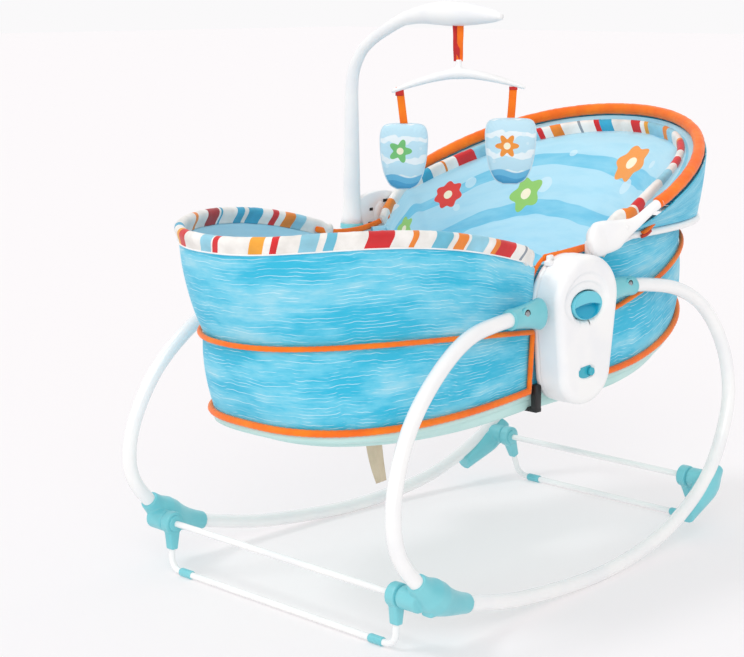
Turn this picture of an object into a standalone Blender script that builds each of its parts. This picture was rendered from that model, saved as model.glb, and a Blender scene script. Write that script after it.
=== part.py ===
"""Rocking bassinet: two oval rocker hoops carry a fabric cradle on two side housings.

The foot end lies in -X and the head end in +X, the near side in -Y and the far side in +Y.
Z = 0 is the floor. Sizes are in metres.
"""
import math

import bmesh
import bpy
from mathutils import Matrix, Vector

NEAR = -1
FAR = 1
FOOT = -1
HEAD = 1
SIDE_NAMES = {NEAR: "near", FAR: "far"}
END_NAMES = {FOOT: "front", HEAD: "rear"}

# Clearances
FIT_GAP = 0.0003
RUNNING_GAP = 0.0004
SOFT_GAP = 0.0008
CUT_OVERRUN = 0.004
MERGE_DISTANCE = 0.00003

# Rocker hoops: steel tube bent to an oval that is open at the top
HOOP_LENGTH = 0.90
HOOP_HEIGHT = 0.434
HOOP_SPACING = 0.50
HOOP_TUBE_RADIUS = 0.0111
HOOP_TOE_SHARE = 0.059
HOOP_SPLAY_SHARE = 0.084
# Outline from the front socket round the floor to the rear socket: shares of half the length
# and of the height between the lowest and the highest centre line
HOOP_SHARES = (
    (-0.23, 0.974), (-0.43, 0.970), (-0.60, 0.942), (-0.76, 0.850), (-0.90, 0.710),
    (-0.985, 0.530), (-0.995, 0.370), (-0.93, 0.250), (-0.80, 0.143), (-0.60, 0.080),
    (-0.35, 0.030), (0.05, 0.0), (0.40, 0.030), (0.64, 0.105), (0.82, 0.215),
    (0.94, 0.375), (0.98, 0.520), (0.94, 0.690), (0.82, 0.845), (0.65, 0.938),
    (0.43, 0.985), (0.23, 1.0),
)

# Side housings: a long rounded casing that narrows downwards
HOUSING_RISE = 0.068
HOUSING_DROP = 0.156
HOUSING_TOP_RADIUS = 0.063
HOUSING_BOTTOM_RADIUS = 0.051
HOUSING_DEPTH = 0.056
HOUSING_WALL = 0.0025
HOUSING_EDGE_RADIUS = 0.013
HOUSING_BACK_THICKNESS = 0.0125
RECESS_DEPTH = 0.0022
RECESS_MARGIN = 0.010

# Sockets that join the hoop ends to the housings
FRONT_SOCKET_REACH = 0.158
REAR_SOCKET_REACH = 0.152
FRONT_SOCKET_ROOT_HEIGHT = 0.046
REAR_SOCKET_ROOT_HEIGHT = 0.036
SOCKET_ROOT_DEPTH = 0.033
SOCKET_MOUTH_WALL = 0.0038
SOCKET_SCREW_SHARE = 0.45
SCREW_HEAD_RADIUS = 0.0042
SCREW_HEAD_HEIGHT = 0.0034
SCREW_SEAT_DEPTH = 0.0024
SCREW_TAPER_SHARE = 0.8

# Release button and slide switch on each housing
BUTTON_WIDTH = 0.068
BUTTON_HEIGHT = 0.044
BUTTON_BELOW_TOP = 0.072
BUTTON_LENGTH = 0.020
BUTTON_STANDOUT = 0.0035
BUTTON_SCOOP_DEPTH = 0.003
BUTTON_SCOOP_WIDTH_SHARE = 0.82
BUTTON_SCOOP_HEIGHT_SHARE = 0.46
BUTTON_SCOOP_DROP_SHARE = 0.25
SWITCH_WIDTH = 0.032
SWITCH_HEIGHT = 0.018
SWITCH_BELOW_TOP = 0.168
SWITCH_STUD_RADIUS = 0.006
SWITCH_STANDOUT = 0.0030
SWITCH_PLATE_THICKNESS = 0.0016
SWITCH_TRAVEL = 0.012

# Feet: moulded shoes on the hoops, each with a boss for the cross tube
FOOT_SHARES = {FOOT: (0.288, 0.372), HEAD: (0.646, 0.7035)}
FOOT_RADIUS_SHARES = (0.0, 0.22, 0.72, 1.0, 0.85, 0.50, 0.18, 0.0)
FOOT_SLEEVE_WALL = 0.0035
FRONT_FOOT_SWELL = 0.0110
REAR_FOOT_SWELL = 0.0100
FRONT_FOOT_OFFSET = 0.0030
REAR_FOOT_OFFSET = 0.0085
PAD_LENGTH = 0.030
PAD_WIDTH = 0.020
PAD_DROP = 0.025
PAD_SHARE = -0.858
BOSS_SHARES = {FOOT: -0.89, HEAD: 0.81}
FRONT_BOSS_DROP = 0.014
REAR_BOSS_DROP = 0.018
BOSS_REACH = 0.056
BOSS_SHOULDER_REACH = 0.0335
BOSS_SHOULDER_RADIUS = 0.0165
BOSS_RADIUS = 0.0130

# Cross tubes and folding stands
CROSS_TUBE_RADIUS = 0.0050
CROSS_TUBE_SEAT = 0.020
CLIP_WIDTH = 0.0160
CLIP_RING_WALL = 0.0045
CLIP_LEG_LENGTH = 0.042
CLIP_LEG_TOP = 0.030
CLIP_LEG_BOTTOM = 0.0140
STAND_ROD_RADIUS = 0.0050
STAND_ROD_SEAT = 0.016
STAND_BEND_RADIUS = 0.018
FRONT_STAND_LEAN = math.radians(2)
REAR_STAND_LEAN = math.radians(22)
GRIP_RADIUS = 0.0068
GRIP_LENGTH = 0.026
GRIP_FROM_CORNER = 0.005

# Cradle outlines. Each is a U in plan: it starts beside the housing, reaches its end of the
# cradle, and stands out from the cradle's waist. Squareness is a superellipse exponent.
CRADLE_WAIST_GAP = 0.0040
FOOT_RIM_START = 0.079
FOOT_RIM_TIP = 0.535
FOOT_RIM_OVERHANG = 0.016
FOOT_RIM_SQUARENESS = 2.35
FOOT_RIM_ABOVE_HOUSING = 0.003
FOOT_RIM_RISE = 0.145
FOOT_RIM_SAG = -0.099
FOOT_MID_START = 0.074
FOOT_MID_TIP = 0.494
FOOT_MID_OVERHANG = 0.008
FOOT_MID_SQUARENESS = 2.25
FOOT_MID_ABOVE_BASE = 0.114
FOOT_MID_RISE = 0.040
FOOT_MID_SAG = -0.026
FOOT_BASE_START = 0.072
FOOT_BASE_TIP = 0.456
FOOT_BASE_OVERHANG = 0.001
FOOT_BASE_SQUARENESS = 2.75
FOOT_BASE_ABOVE_BASE = 0.020
FOOT_BASE_RISE = -0.038
FOOT_BASE_SAG = 0.022
FOOT_TRAY_START = 0.064
FOOT_TRAY_TIP = 0.421
FOOT_TRAY_OVERHANG = -0.008
FOOT_TRAY_SQUARENESS = 2.5
FOOT_TRAY_ABOVE_BASE = -0.008
FOOT_TRAY_RISE = -0.026
FOOT_TRAY_SAG = 0.015
HEAD_RIM_START = 0.100
HEAD_RIM_TIP = 0.494
HEAD_RIM_OVERHANG = 0.007
HEAD_RIM_SQUARENESS = 3.0
HEAD_RIM_ABOVE_HOUSING = 0.010
HEAD_TOP_ABOVE_HOUSING = 0.0028
HEAD_MID_START = 0.078
HEAD_MID_TIP = 0.464
HEAD_MID_OVERHANG = 0.005
HEAD_MID_SQUARENESS = 2.75
HEAD_MID_ABOVE_BASE = 0.112
HEAD_MID_RISE = 0.074
HEAD_MID_SAG = 0.034
HEAD_BASE_START = 0.098
HEAD_BASE_TIP = 0.474
HEAD_BASE_OVERHANG = -0.001
HEAD_BASE_SQUARENESS = 2.5
HEAD_BASE_ABOVE_BASE = 0.019
HEAD_BASE_RISE = 0.0
HEAD_BASE_SAG = 0.083
HEAD_TRAY_START = 0.090
HEAD_TRAY_TIP = 0.440
HEAD_TRAY_OVERHANG = -0.010
HEAD_TRAY_SQUARENESS = 2.5
HEAD_TRAY_ABOVE_BASE = -0.008
HEAD_TRAY_RISE = 0.0
HEAD_TRAY_SAG = 0.080

# Cradle pieces
RIM_TUBE_RADIUS = 0.0050
RIM_COVER_RADIUS = 0.0122
RIM_BOSS_RADIUS = 0.0078
RIM_BOSS_STANDOUT = 0.018
RIM_TUBE_SEAT = 0.018
HEAD_RIM_RADIUS = 0.0058
FABRIC_THICKNESS = 0.0030
FABRIC_BULGE = 0.0060
FABRIC_BULGE_SPAN = 0.080
BULGE_START = 0.100
SEAM_LIFT = 0.0014
SEAM_DROP = 0.0022
UPPER_PANEL_SHARES = (0.66, 0.33)
LOWER_PANEL_SHARES = (0.5,)
PIPING_RADIUS = 0.0033
TRAY_WALL = 0.0030
TRAY_FLOOR_INSET = 0.022
TRAY_FLOOR_DROP = 0.005
MATTRESS_HEIGHT = 0.046
MATTRESS_MARGIN = 0.004
MATTRESS_START = 0.078
# Side of the mattress: shares of its side inset and of its height
MATTRESS_SHARES = ((1.0, 0.25), (0.82, 0.50), (1.0, 0.75), (2.0, 0.94), (4.0, 1.0))
BRACE_LENGTH = 0.020
BRACE_THICKNESS = 0.006
BRACE_UPSTAND = 0.042
BRACE_BLOCK_WIDTH = 0.020
BRACE_X = -0.0570
STRAP_WIDTH = 0.025
STRAP_THICKNESS = 0.0016
STRAP_LENGTH = 0.098
STRAP_X = -0.205
STRAP_Y = -0.020

# Backrest: a bent tube in an orange sleeve, two arms, the inner liner and the outer hood
PIVOT_X = 0.055
PIVOT_ABOVE_HOUSING = 0.018
PIVOT_LUG_RADIUS = 0.020
PIVOT_PIN_RADIUS = 0.0060
ARM_STANDOFF = 0.0120
ARM_HUB_RADIUS = 0.028
ARM_HUB_THICKNESS = 0.022
ARM_END_RADIUS = 0.0122
ARM_LENGTH = 0.124
ARM_TUBE_SEAT = 0.028
# Arm from behind its hub to its end: shares of its length, height and thickness
ARM_SHARES = (
    (-0.22, 0.22, 0.45), (-0.19, 0.62, 0.75), (-0.10, 0.92, 0.95), (0.0, 1.0, 1.0),
    (0.14, 0.95, 1.0), (0.34, 0.76, 1.0), (0.60, 0.55, 1.0), (0.82, 0.46, 1.0),
    (1.0, 0.44, 1.0),
)
BACK_TILT = math.radians(22.0)
BACK_TUBE_OFFSET = 0.0090
BACK_TUBE_RADIUS = 0.0062
BACK_SLEEVE_RADIUS = 0.0094
BACK_STRAIGHT = 0.114
BACK_REACH = 0.4234
BACK_SPREAD = 0.039
BACK_SQUARENESS = 2.14
LINER_TILT = math.radians(16.2)
LINER_START = -0.023
LINER_LIFT = 0.018
LINER_REACH = 0.433
LINER_STRAIGHT = 0.110
LINER_MOUTH_HALF = 0.158
LINER_HALF = 0.226
LINER_SQUARENESS = 2.16
LINER_THICKNESS = 0.0040
LINER_END_DROP = 0.045
LINER_END_RUN = 0.112
LINER_SEAT_START = 0.006
LINER_SEAT_REACH = 0.115
LINER_SEAT_HALF = 0.135
LINER_SEAT_DROP = 0.146
LINER_SAG = 0.030
LINER_SHARES = (0.14, 0.32, 0.55, 0.78, 1.0)
LINER_SPREAD_POWER = 0.75
LINER_DEPTH_POWER = 1.1
LINER_END_POWER = 1.5
BAND_RADIUS = 0.0095
BAND_ANGLE_SHARE = 0.10
HOOD_THICKNESS = 0.0025
HOOD_SHARES = (0.3, 0.65)

# Toy bar and mobile
TOY_POST_X = -0.008
TOY_POST_BASE_RADIUS = 0.01375
TOY_POST_HEIGHT = 0.345
TOY_ARM_REACH = 0.318
TOY_SOCKET_RADIUS = 0.0150
TOY_SOCKET_HEIGHT = 0.012
TOY_SPIGOT_DEPTH = 0.030
TOY_SPIGOT_RADIUS = 0.0075
# Arm outline beyond the post: shares of the reach and of the height
TOY_ARM_SHARES = (
    (0.0, 0.30, 0.86), (0.0, 0.60, 0.70), (0.004, 0.73, 0.64), (0.022, 0.80, 0.62),
    (0.070, 0.865, 0.68), (0.19, 0.924, 0.82), (0.34, 0.970, 0.98), (0.50, 0.994, 1.06),
    (0.66, 1.004, 1.04), (0.80, 1.006, 0.90), (0.92, 1.000, 0.66), (1.0, 0.990, 0.30),
)
RIBBON_SHARE = 0.70
RIBBON_LENGTH = 0.060
RIBBON_WIDTH = 0.017
RIBBON_THICKNESS = 0.0030
BOW_HALF_LENGTH = 0.104
BOW_HUB_RADIUS = 0.0105
BOW_RADIUS = 0.0085
BOW_TIP_RADIUS = 0.0030
BOW_DROP = 0.028
BOW_DROP_POWER = 1.5
BOW_TAPER_POWER = 1.3
BOW_HUB_SHARE = 0.2
BOW_TURN = math.radians(-46.1)
TOY_FROM_CENTRE = 0.087
TOY_STRAP_WIDTH = 0.0155
TOY_STRAP_THICKNESS = 0.0022
TOY_STRAP_LENGTH = 0.050
TOY_WIDTHS = {FOOT: 0.073, HEAD: 0.078}
TOY_HEIGHT = 0.102
TOY_THICKNESS = 0.020
# Rounding of a toy's edges: shares of its thickness and of its outline's size
TOY_EDGE_SHARES = ((-0.5, 0.72), (-0.36, 0.92), (0.0, 1.0), (0.36, 0.92), (0.5, 0.72))
# Half outline of a hanging toy, top to bottom: shares of half the width and of the height
TOY_SHARES = (
    (0.30, 1.0), (0.72, 0.985), (0.92, 0.93), (1.0, 0.80), (0.99, 0.62), (0.93, 0.42),
    (0.80, 0.22), (0.58, 0.07), (0.28, 0.005),
)

# Subdivision counts
CURVE_STEPS = 2
U_STEPS = 18
TUBE_SIDES = 8
CIRCLE_SIDES = 16
SMALL_SIDES = 12
SEAT_SIDES = 14
SWELL_SIDES = 10
CORD_SIDES = 6
ARC_STEPS = 6
EDGE_STEPS = 3
SOCKET_STEPS = 5
HOOD_STEPS = 14
RUN_STEPS = 3
BOW_STEPS = 8
SHARP_ANGLE = math.radians(35)

FINISHES = {
    "white_tube": ((0.93, 0.93, 0.92), 0.28, 0.0),
    "white_plastic": ((0.92, 0.92, 0.91), 0.38, 0.0),
    "teal_plastic": ((0.27, 0.68, 0.71), 0.40, 0.0),
    "teal_button": ((0.04, 0.46, 0.56), 0.38, 0.0),
    "mint_plastic": ((0.58, 0.84, 0.78), 0.45, 0.0),
    "steel": ((0.60, 0.60, 0.61), 0.35, 1.0),
    "blue_fabric": ((0.10, 0.55, 0.76), 0.85, 0.0),
    "pale_fabric": ((0.52, 0.80, 0.92), 0.85, 0.0),
    "striped_fabric": ((0.90, 0.30, 0.20), 0.85, 0.0),
    "orange_fabric": ((0.93, 0.26, 0.02), 0.80, 0.0),
    "beige_webbing": ((0.62, 0.50, 0.36), 0.80, 0.0),
    "black_plastic": ((0.02, 0.02, 0.02), 0.50, 0.0),
}

# Derived places
HOOP_HALF = HOOP_LENGTH / 2
PAD_X = HOOP_HALF * PAD_SHARE
HOOP_MID_HEIGHT = HOOP_TUBE_RADIUS + HOOP_HEIGHT / 2


def hoop_y(x, z):
    """Distance of a hoop's plane from the middle of the cradle."""
    return HOOP_SPACING / 2 - HOOP_TOE_SHARE * x + HOOP_SPLAY_SHARE * (HOOP_MID_HEIGHT - z)


def share_to_height(share):
    return HOOP_TUBE_RADIUS + HOOP_HEIGHT * share


FRONT_SOCKET_Z = share_to_height(HOOP_SHARES[0][1])
REAR_SOCKET_Z = share_to_height(HOOP_SHARES[-1][1])
FRONT_SOCKET_Y = hoop_y(-FRONT_SOCKET_REACH, FRONT_SOCKET_Z)
REAR_SOCKET_Y = hoop_y(REAR_SOCKET_REACH, REAR_SOCKET_Z)
HOUSING_Y = (FRONT_SOCKET_Y + REAR_SOCKET_Y) / 2
HOUSING_OUTER_Y = HOUSING_Y + HOUSING_DEPTH / 2
HOUSING_INNER_Y = HOUSING_Y - HOUSING_DEPTH / 2
HOUSING_MID_Z = (FRONT_SOCKET_Z + REAR_SOCKET_Z) / 2
HOUSING_TOP = HOUSING_MID_Z + HOUSING_RISE
HOUSING_BASE = HOUSING_MID_Z - HOUSING_DROP
WAIST = HOUSING_INNER_Y - CRADLE_WAIST_GAP
BUTTON_Z = HOUSING_TOP - BUTTON_BELOW_TOP
SWITCH_Z = HOUSING_TOP - SWITCH_BELOW_TOP
PIVOT_Z = HOUSING_TOP + PIVOT_ABOVE_HOUSING
BACK_Y = HOUSING_INNER_Y + HOUSING_BACK_THICKNESS / 2
ARM_Y = HOUSING_INNER_Y + HOUSING_BACK_THICKNESS + ARM_STANDOFF
BACK_HALF = ARM_Y + BACK_SPREAD
TOY_POST_Y = HOUSING_Y
TOY_SOCKET_TOP = HOUSING_TOP + TOY_SOCKET_HEIGHT / 2


# Scene helpers

def clear_scene():
    for existing in list(bpy.data.objects):
        bpy.data.objects.remove(existing)


def make_collection(name):
    collection = bpy.data.collections.new(name)
    bpy.context.scene.collection.children.link(collection)
    return collection


def make_finish(name):
    colour, roughness, metallic = FINISHES[name]
    material = bpy.data.materials.new(name)
    material.use_nodes = True
    shader = material.node_tree.nodes["Principled BSDF"]
    shader.inputs["Base Color"].default_value = (*colour, 1)
    shader.inputs["Roughness"].default_value = roughness
    shader.inputs["Metallic"].default_value = metallic
    return material


def make_anchor(name, location, parent=None):
    """An empty that a moving group hangs from, on its joint's axis."""
    anchor = bpy.data.objects.new(name, None)
    anchor.location = location
    PARTS.objects.link(anchor)
    if parent is not None:
        attach(anchor, parent)
    return anchor


def anchor_place(anchor):
    """World place of an anchor, with the model's final shift left out."""
    return Vector(anchor.get("place", (0, 0, 0)))


def attach(child, anchor):
    child.parent = anchor
    child.matrix_parent_inverse = Matrix.Translation(-anchor_place(anchor))
    if child.type == "EMPTY":
        child["place"] = tuple(child.location)


def mesh_object(name, bm, finish=None, anchor=None, smooth=True):
    """Turn a bmesh into a part, or into a cutter where it has no finish."""
    mesh = bpy.data.meshes.new(name)
    bm.to_mesh(mesh)
    bm.free()
    made = bpy.data.objects.new(name, mesh)
    return place_object(made, finish, anchor, smooth)


def place_object(made, finish, anchor, smooth=True):
    if finish is None:
        CUTTERS.objects.link(made)
        attach(made, ORIGIN)
        made.hide_render = True
        made.display_type = "WIRE"
        return made
    PARTS.objects.link(made)
    made.data.materials.clear()
    made.data.materials.append(MATERIALS[finish])
    attach(made, anchor or ORIGIN)
    if smooth and made.type == "MESH":
        made.data.shade_smooth()
        made.data.set_sharp_from_angle(angle=SHARP_ANGLE)
    return made


def combine(target, tool, operation):
    """Cut the tool out of the target or join it on."""
    modifier = target.modifiers.new(tool.name, "BOOLEAN")
    modifier.operation = operation
    modifier.object = tool
    modifier.solver = "EXACT"
    return target


def thicken(target, thickness, offset=-1):
    modifier = target.modifiers.new("wall", "SOLIDIFY")
    modifier.thickness = thickness
    modifier.offset = offset
    modifier.use_rim = True
    return target


# Geometry helpers

def smooth_path(points, steps):
    """Points on a smooth curve through the given ones."""
    points = [Vector(point) for point in points]
    ends = [points[0] * 2 - points[1]] + points + [points[-1] * 2 - points[-2]]
    path = []
    for index in range(1, len(ends) - 2):
        before, here, there, after = ends[index - 1:index + 3]
        for step in range(steps):
            t = step / steps
            path.append(
                ((2 * here) + (there - before) * t
                 + (2 * before - 5 * here + 4 * there - after) * t ** 2
                 + (3 * here - before - 3 * there + after) * t ** 3) / 2)
    path.append(points[-1])
    return path


def lengthen(points, amount):
    """The same path with both ends drawn out."""
    points = [Vector(point) for point in points]
    head = points[0] + (points[0] - points[1]).normalized() * amount
    tail = points[-1] + (points[-1] - points[-2]).normalized() * amount
    return [head] + points[1:-1] + [tail]


def path_slice(points, start_share, end_share):
    """The stretch of a path between two shares of its length, with each point's own share."""
    lengths = [0.0]
    for before, after in zip(points, points[1:]):
        lengths.append(lengths[-1] + (after - before).length)
    total = lengths[-1]
    start = start_share * total
    end = end_share * total
    spine = []
    for index in range(len(points) - 1):
        for wanted in (start, end):
            if lengths[index] <= wanted < lengths[index + 1]:
                span = lengths[index + 1] - lengths[index]
                place = points[index].lerp(points[index + 1], (wanted - lengths[index]) / span)
                spine.append((place, 0.0 if wanted == start else 1.0))
        if start < lengths[index + 1] < end:
            spine.append((points[index + 1].copy(), (lengths[index + 1] - start) / (end - start)))
    return spine


def share_value(values, share):
    """The value at a share of the way along an evenly spaced list."""
    place = share * (len(values) - 1)
    index = min(int(place), len(values) - 2)
    return values[index] + (values[index + 1] - values[index]) * (place - index)


def tube_curve(name, points, radius, radii=None, sides=TUBE_SIDES):
    curve = bpy.data.curves.new(name, "CURVE")
    curve.dimensions = "3D"
    curve.bevel_depth = radius
    curve.bevel_resolution = sides // 2 - 2
    curve.use_fill_caps = True
    spline = curve.splines.new("POLY")
    spline.points.add(len(points) - 1)
    for index, point in enumerate(points):
        spline.points[index].co = (*point, 1)
        spline.points[index].radius = 1 if radii is None else radii[index] / radius
    return curve


def tube(name, points, radius, finish, anchor=None, radii=None, sides=TUBE_SIDES):
    """A round bar or tube along a path."""
    made = bpy.data.objects.new(name, tube_curve(name, points, radius, radii, sides))
    return place_object(made, finish, anchor)


def tube_mesh(name, points, radius, finish=None, anchor=None, radii=None, sides=TUBE_SIDES):
    """The same bar as a mesh, which can be cut or can cut."""
    guide = bpy.data.objects.new(name + "_guide",
                                 tube_curve(name, points, radius, radii, sides))
    bpy.context.scene.collection.objects.link(guide)
    mesh = bpy.data.meshes.new_from_object(
        guide.evaluated_get(bpy.context.evaluated_depsgraph_get()))
    bpy.data.objects.remove(guide)
    bm = bmesh.new()
    bm.from_mesh(mesh)
    bpy.data.meshes.remove(mesh)
    bmesh.ops.remove_doubles(bm, verts=bm.verts, dist=MERGE_DISTANCE)
    bmesh.ops.recalc_face_normals(bm, faces=bm.faces)
    return mesh_object(name, bm, finish, anchor)


def sleeve(name, points, outer_radius, inner_radius, finish, anchor=None, sides=TUBE_SIDES):
    """A hollow sleeve round a path, open at both ends."""
    made = tube_mesh(name, points, outer_radius, finish, anchor, sides=sides)
    bore = tube_mesh(name + "_bore", lengthen(points, CUT_OVERRUN), inner_radius, sides=sides)
    return combine(made, bore, "DIFFERENCE")


def cylinder(name, centre, axis, radius, length, finish=None, anchor=None, end_radius=None,
             sides=CIRCLE_SIDES):
    """A cylinder or cone whose middle is at centre, narrowing along axis."""
    bm = bmesh.new()
    turn = Vector((0, 0, 1)).rotation_difference(Vector(axis)).to_matrix().to_4x4()
    bmesh.ops.create_cone(
        bm, cap_ends=True, segments=sides, radius1=radius,
        radius2=radius if end_radius is None else end_radius, depth=length,
        matrix=Matrix.Translation(centre) @ turn)
    return mesh_object(name, bm, finish, anchor)


def block(name, centre, size, finish=None, anchor=None, turn=0.0):
    bm = bmesh.new()
    matrix = (Matrix.Translation(centre) @ Matrix.Rotation(turn, 4, "Z")
              @ Matrix.Diagonal((*size, 1)))
    bmesh.ops.create_cube(bm, size=1, matrix=matrix)
    return mesh_object(name, bm, finish, anchor)


def ladder_faces(bm, row):
    """Close a row of points by joining its first half to its mirrored second half."""
    for index in range(len(row) // 2):
        last = len(row) - 1 - index
        if last - index > 2:
            bm.faces.new((row[index], row[index + 1], row[last - 1], row[last]))
        elif last - index == 2:
            bm.faces.new((row[index], row[index + 1], row[last]))


def turn_outward(bm, inside):
    """Turn an open skin's faces away from a point on its inner side."""
    bmesh.ops.recalc_face_normals(bm, faces=bm.faces)
    bm.normal_update()
    facing = sum((face.calc_center_median() - Vector(inside)).dot(face.normal)
                 * face.calc_area() for face in bm.faces)
    if facing < 0:
        bmesh.ops.reverse_faces(bm, faces=bm.faces)


def skin_faces(bm, rings, closed):
    """Points of the rings, with faces between each ring and the next."""
    grid = [[bm.verts.new(point) for point in ring] for ring in rings]
    count = len(grid[0])
    for upper, lower in zip(grid, grid[1:]):
        for index in range(count if closed else count - 1):
            after = (index + 1) % count
            bm.faces.new((upper[index], upper[after], lower[after], lower[index]))
    return grid


def loft(name, rings, finish=None, anchor=None, closed=True, caps=True, inside=None,
         ladder=False):
    """Skin over rings that have the same number of points.

    A ladder cap joins the first half of a ring to its mirrored second half.
    inside is a point that the faces of an open skin turn away from.
    """
    bm = bmesh.new()
    grid = skin_faces(bm, rings, closed)
    ends = [grid[0], grid[-1]] if caps is True else [grid[index] for index in (caps or ())]
    for ring in ends:
        if ladder:
            ladder_faces(bm, ring)
        else:
            bm.faces.new(ring)
    if inside is None:
        bmesh.ops.recalc_face_normals(bm, faces=bm.faces)
    else:
        turn_outward(bm, inside)
    return mesh_object(name, bm, finish, anchor)


def ellipse_ring(centre, across, up, width, height, sides=12):
    """Points of an ellipse round centre, from two unit directions."""
    return [Vector(centre) + Vector(across) * width / 2 * math.cos(math.tau * k / sides)
            + Vector(up) * height / 2 * math.sin(math.tau * k / sides) for k in range(sides)]


def super_power(value, squareness):
    return math.copysign(abs(value) ** (2 / squareness), value)


# Cradle outlines

def edge_values(end, level):
    """Start, tip, half width, squareness, height, rise and sag of one cradle outline."""
    table = {
        (FOOT, "rim"): (FOOT_RIM_START, FOOT_RIM_TIP, FOOT_RIM_OVERHANG, FOOT_RIM_SQUARENESS,
                        HOUSING_TOP + FOOT_RIM_ABOVE_HOUSING, FOOT_RIM_RISE, FOOT_RIM_SAG),
        (FOOT, "mid"): (FOOT_MID_START, FOOT_MID_TIP, FOOT_MID_OVERHANG, FOOT_MID_SQUARENESS,
                        HOUSING_BASE + FOOT_MID_ABOVE_BASE, FOOT_MID_RISE, FOOT_MID_SAG),
        (FOOT, "base"): (FOOT_BASE_START, FOOT_BASE_TIP, FOOT_BASE_OVERHANG,
                         FOOT_BASE_SQUARENESS, HOUSING_BASE + FOOT_BASE_ABOVE_BASE,
                         FOOT_BASE_RISE, FOOT_BASE_SAG),
        (FOOT, "tray"): (FOOT_TRAY_START, FOOT_TRAY_TIP, FOOT_TRAY_OVERHANG,
                         FOOT_TRAY_SQUARENESS, HOUSING_BASE + FOOT_TRAY_ABOVE_BASE,
                         FOOT_TRAY_RISE, FOOT_TRAY_SAG),
        (HEAD, "rim"): (HEAD_RIM_START, HEAD_RIM_TIP, HEAD_RIM_OVERHANG, HEAD_RIM_SQUARENESS,
                        HOUSING_TOP + HEAD_RIM_ABOVE_HOUSING, 0.0, 0.0),
        (HEAD, "mid"): (HEAD_MID_START, HEAD_MID_TIP, HEAD_MID_OVERHANG, HEAD_MID_SQUARENESS,
                        HOUSING_BASE + HEAD_MID_ABOVE_BASE, HEAD_MID_RISE, HEAD_MID_SAG),
        (HEAD, "base"): (HEAD_BASE_START, HEAD_BASE_TIP, HEAD_BASE_OVERHANG,
                         HEAD_BASE_SQUARENESS, HOUSING_BASE + HEAD_BASE_ABOVE_BASE,
                         HEAD_BASE_RISE, HEAD_BASE_SAG),
        (HEAD, "tray"): (HEAD_TRAY_START, HEAD_TRAY_TIP, HEAD_TRAY_OVERHANG,
                         HEAD_TRAY_SQUARENESS, HOUSING_BASE + HEAD_TRAY_ABOVE_BASE,
                         HEAD_TRAY_RISE, HEAD_TRAY_SAG),
    }
    return table[end, level]


def edge_point(end, level, angle, inset=0.0, lift=0.0):
    """A point of a cradle outline. Angle 0 is the near side, half a turn the far side."""
    start, tip, overhang, squareness, height, rise, sag = edge_values(end, level)
    travel = abs(super_power(math.sin(angle), squareness))
    side = -super_power(math.cos(angle), squareness)
    x = start + (tip - inset - start) * travel
    y = (WAIST + overhang - inset) * side
    z = height + rise * travel + sag * travel ** 2 + lift
    return Vector((end * x, y, z))


def edge_path(end, level, inset=0.0, lift=0.0, waist=True, steps=U_STEPS):
    """A whole outline from the near side to the far side, with its run to the housing."""
    points = [edge_point(end, level, math.pi * k / steps, inset, lift)
              for k in range(steps + 1)]
    if waist:
        for side in (NEAR, FAR):
            near_end = points[0 if side == NEAR else -1]
            half = min(WAIST - inset, abs(near_end.y))
            run = [Vector((end * FIT_GAP, side * half, near_end.z)),
                   Vector((end * HOUSING_TOP_RADIUS, side * half, near_end.z))]
            if side == NEAR:
                points = run + points
            else:
                points = points + run[::-1]
    return points


def blend_path(lower, upper, share):
    """A line between two outlines, bulging out from the cradle's middle line."""
    bulge = FABRIC_BULGE * (1 - (2 * share - 1) ** 2)
    path = []
    for low, high in zip(lower, upper):
        point = low.lerp(high, share)
        outward = Vector((point.x, point.y, 0)).normalized()
        fullness = min(1.0, max(0.0, (abs(point.x) - BULGE_START) / HOUSING_TOP_RADIUS))
        tallness = min(1.0, (high - low).length / FABRIC_BULGE_SPAN) ** 2
        path.append(point + outward * bulge * fullness * tallness)
    return path


# Rocker frame

def hoop_path(side):
    points = []
    for along, up in HOOP_SHARES:
        x = HOOP_HALF * along
        z = share_to_height(up)
        points.append((x, side * hoop_y(x, z), z))
    return smooth_path(points, CURVE_STEPS)


def hoop_point_at(side, share):
    """The point of the hoop's lower half at a share of half its length from the middle."""
    wanted = HOOP_HALF * share
    lower = [point for point in hoop_path(side) if point.z < HOOP_MID_HEIGHT]
    return min(lower, key=lambda point: abs(point.x - wanted))


def boss_place(side, end):
    """Axis of a foot's boss at the hoop, and the distance of its inner end from the middle."""
    point = hoop_point_at(side, BOSS_SHARES[end])
    x = HOOP_HALF * BOSS_SHARES[end]
    drop = FRONT_BOSS_DROP if end == FOOT else REAR_BOSS_DROP
    return Vector((x, point.y, point.z - drop))


def make_hoops():
    for side in (NEAR, FAR):
        tube(SIDE_NAMES[side] + "_hoop", hoop_path(side), HOOP_TUBE_RADIUS, "white_tube")


def housing_outline(grow=0.0):
    """Outline in X and Z: a large arc on top, a smaller one below, and tangents between."""
    top = Vector((0, HOUSING_TOP - HOUSING_TOP_RADIUS))
    low = Vector((0, HOUSING_BASE + HOUSING_BOTTOM_RADIUS))
    lean = math.asin((HOUSING_TOP_RADIUS - HOUSING_BOTTOM_RADIUS) / (top - low).length)
    points = []
    for centre, radius, start, end in (
            (top, HOUSING_TOP_RADIUS + grow, -lean, math.pi + lean),
            (low, HOUSING_BOTTOM_RADIUS + grow, math.pi + lean, math.tau - lean)):
        for k in range(ARC_STEPS * 2 + 1):
            angle = start + (end - start) * k / (ARC_STEPS * 2)
            points.append((centre.x + radius * math.cos(angle),
                           centre.y + radius * math.sin(angle)))
    return points


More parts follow.
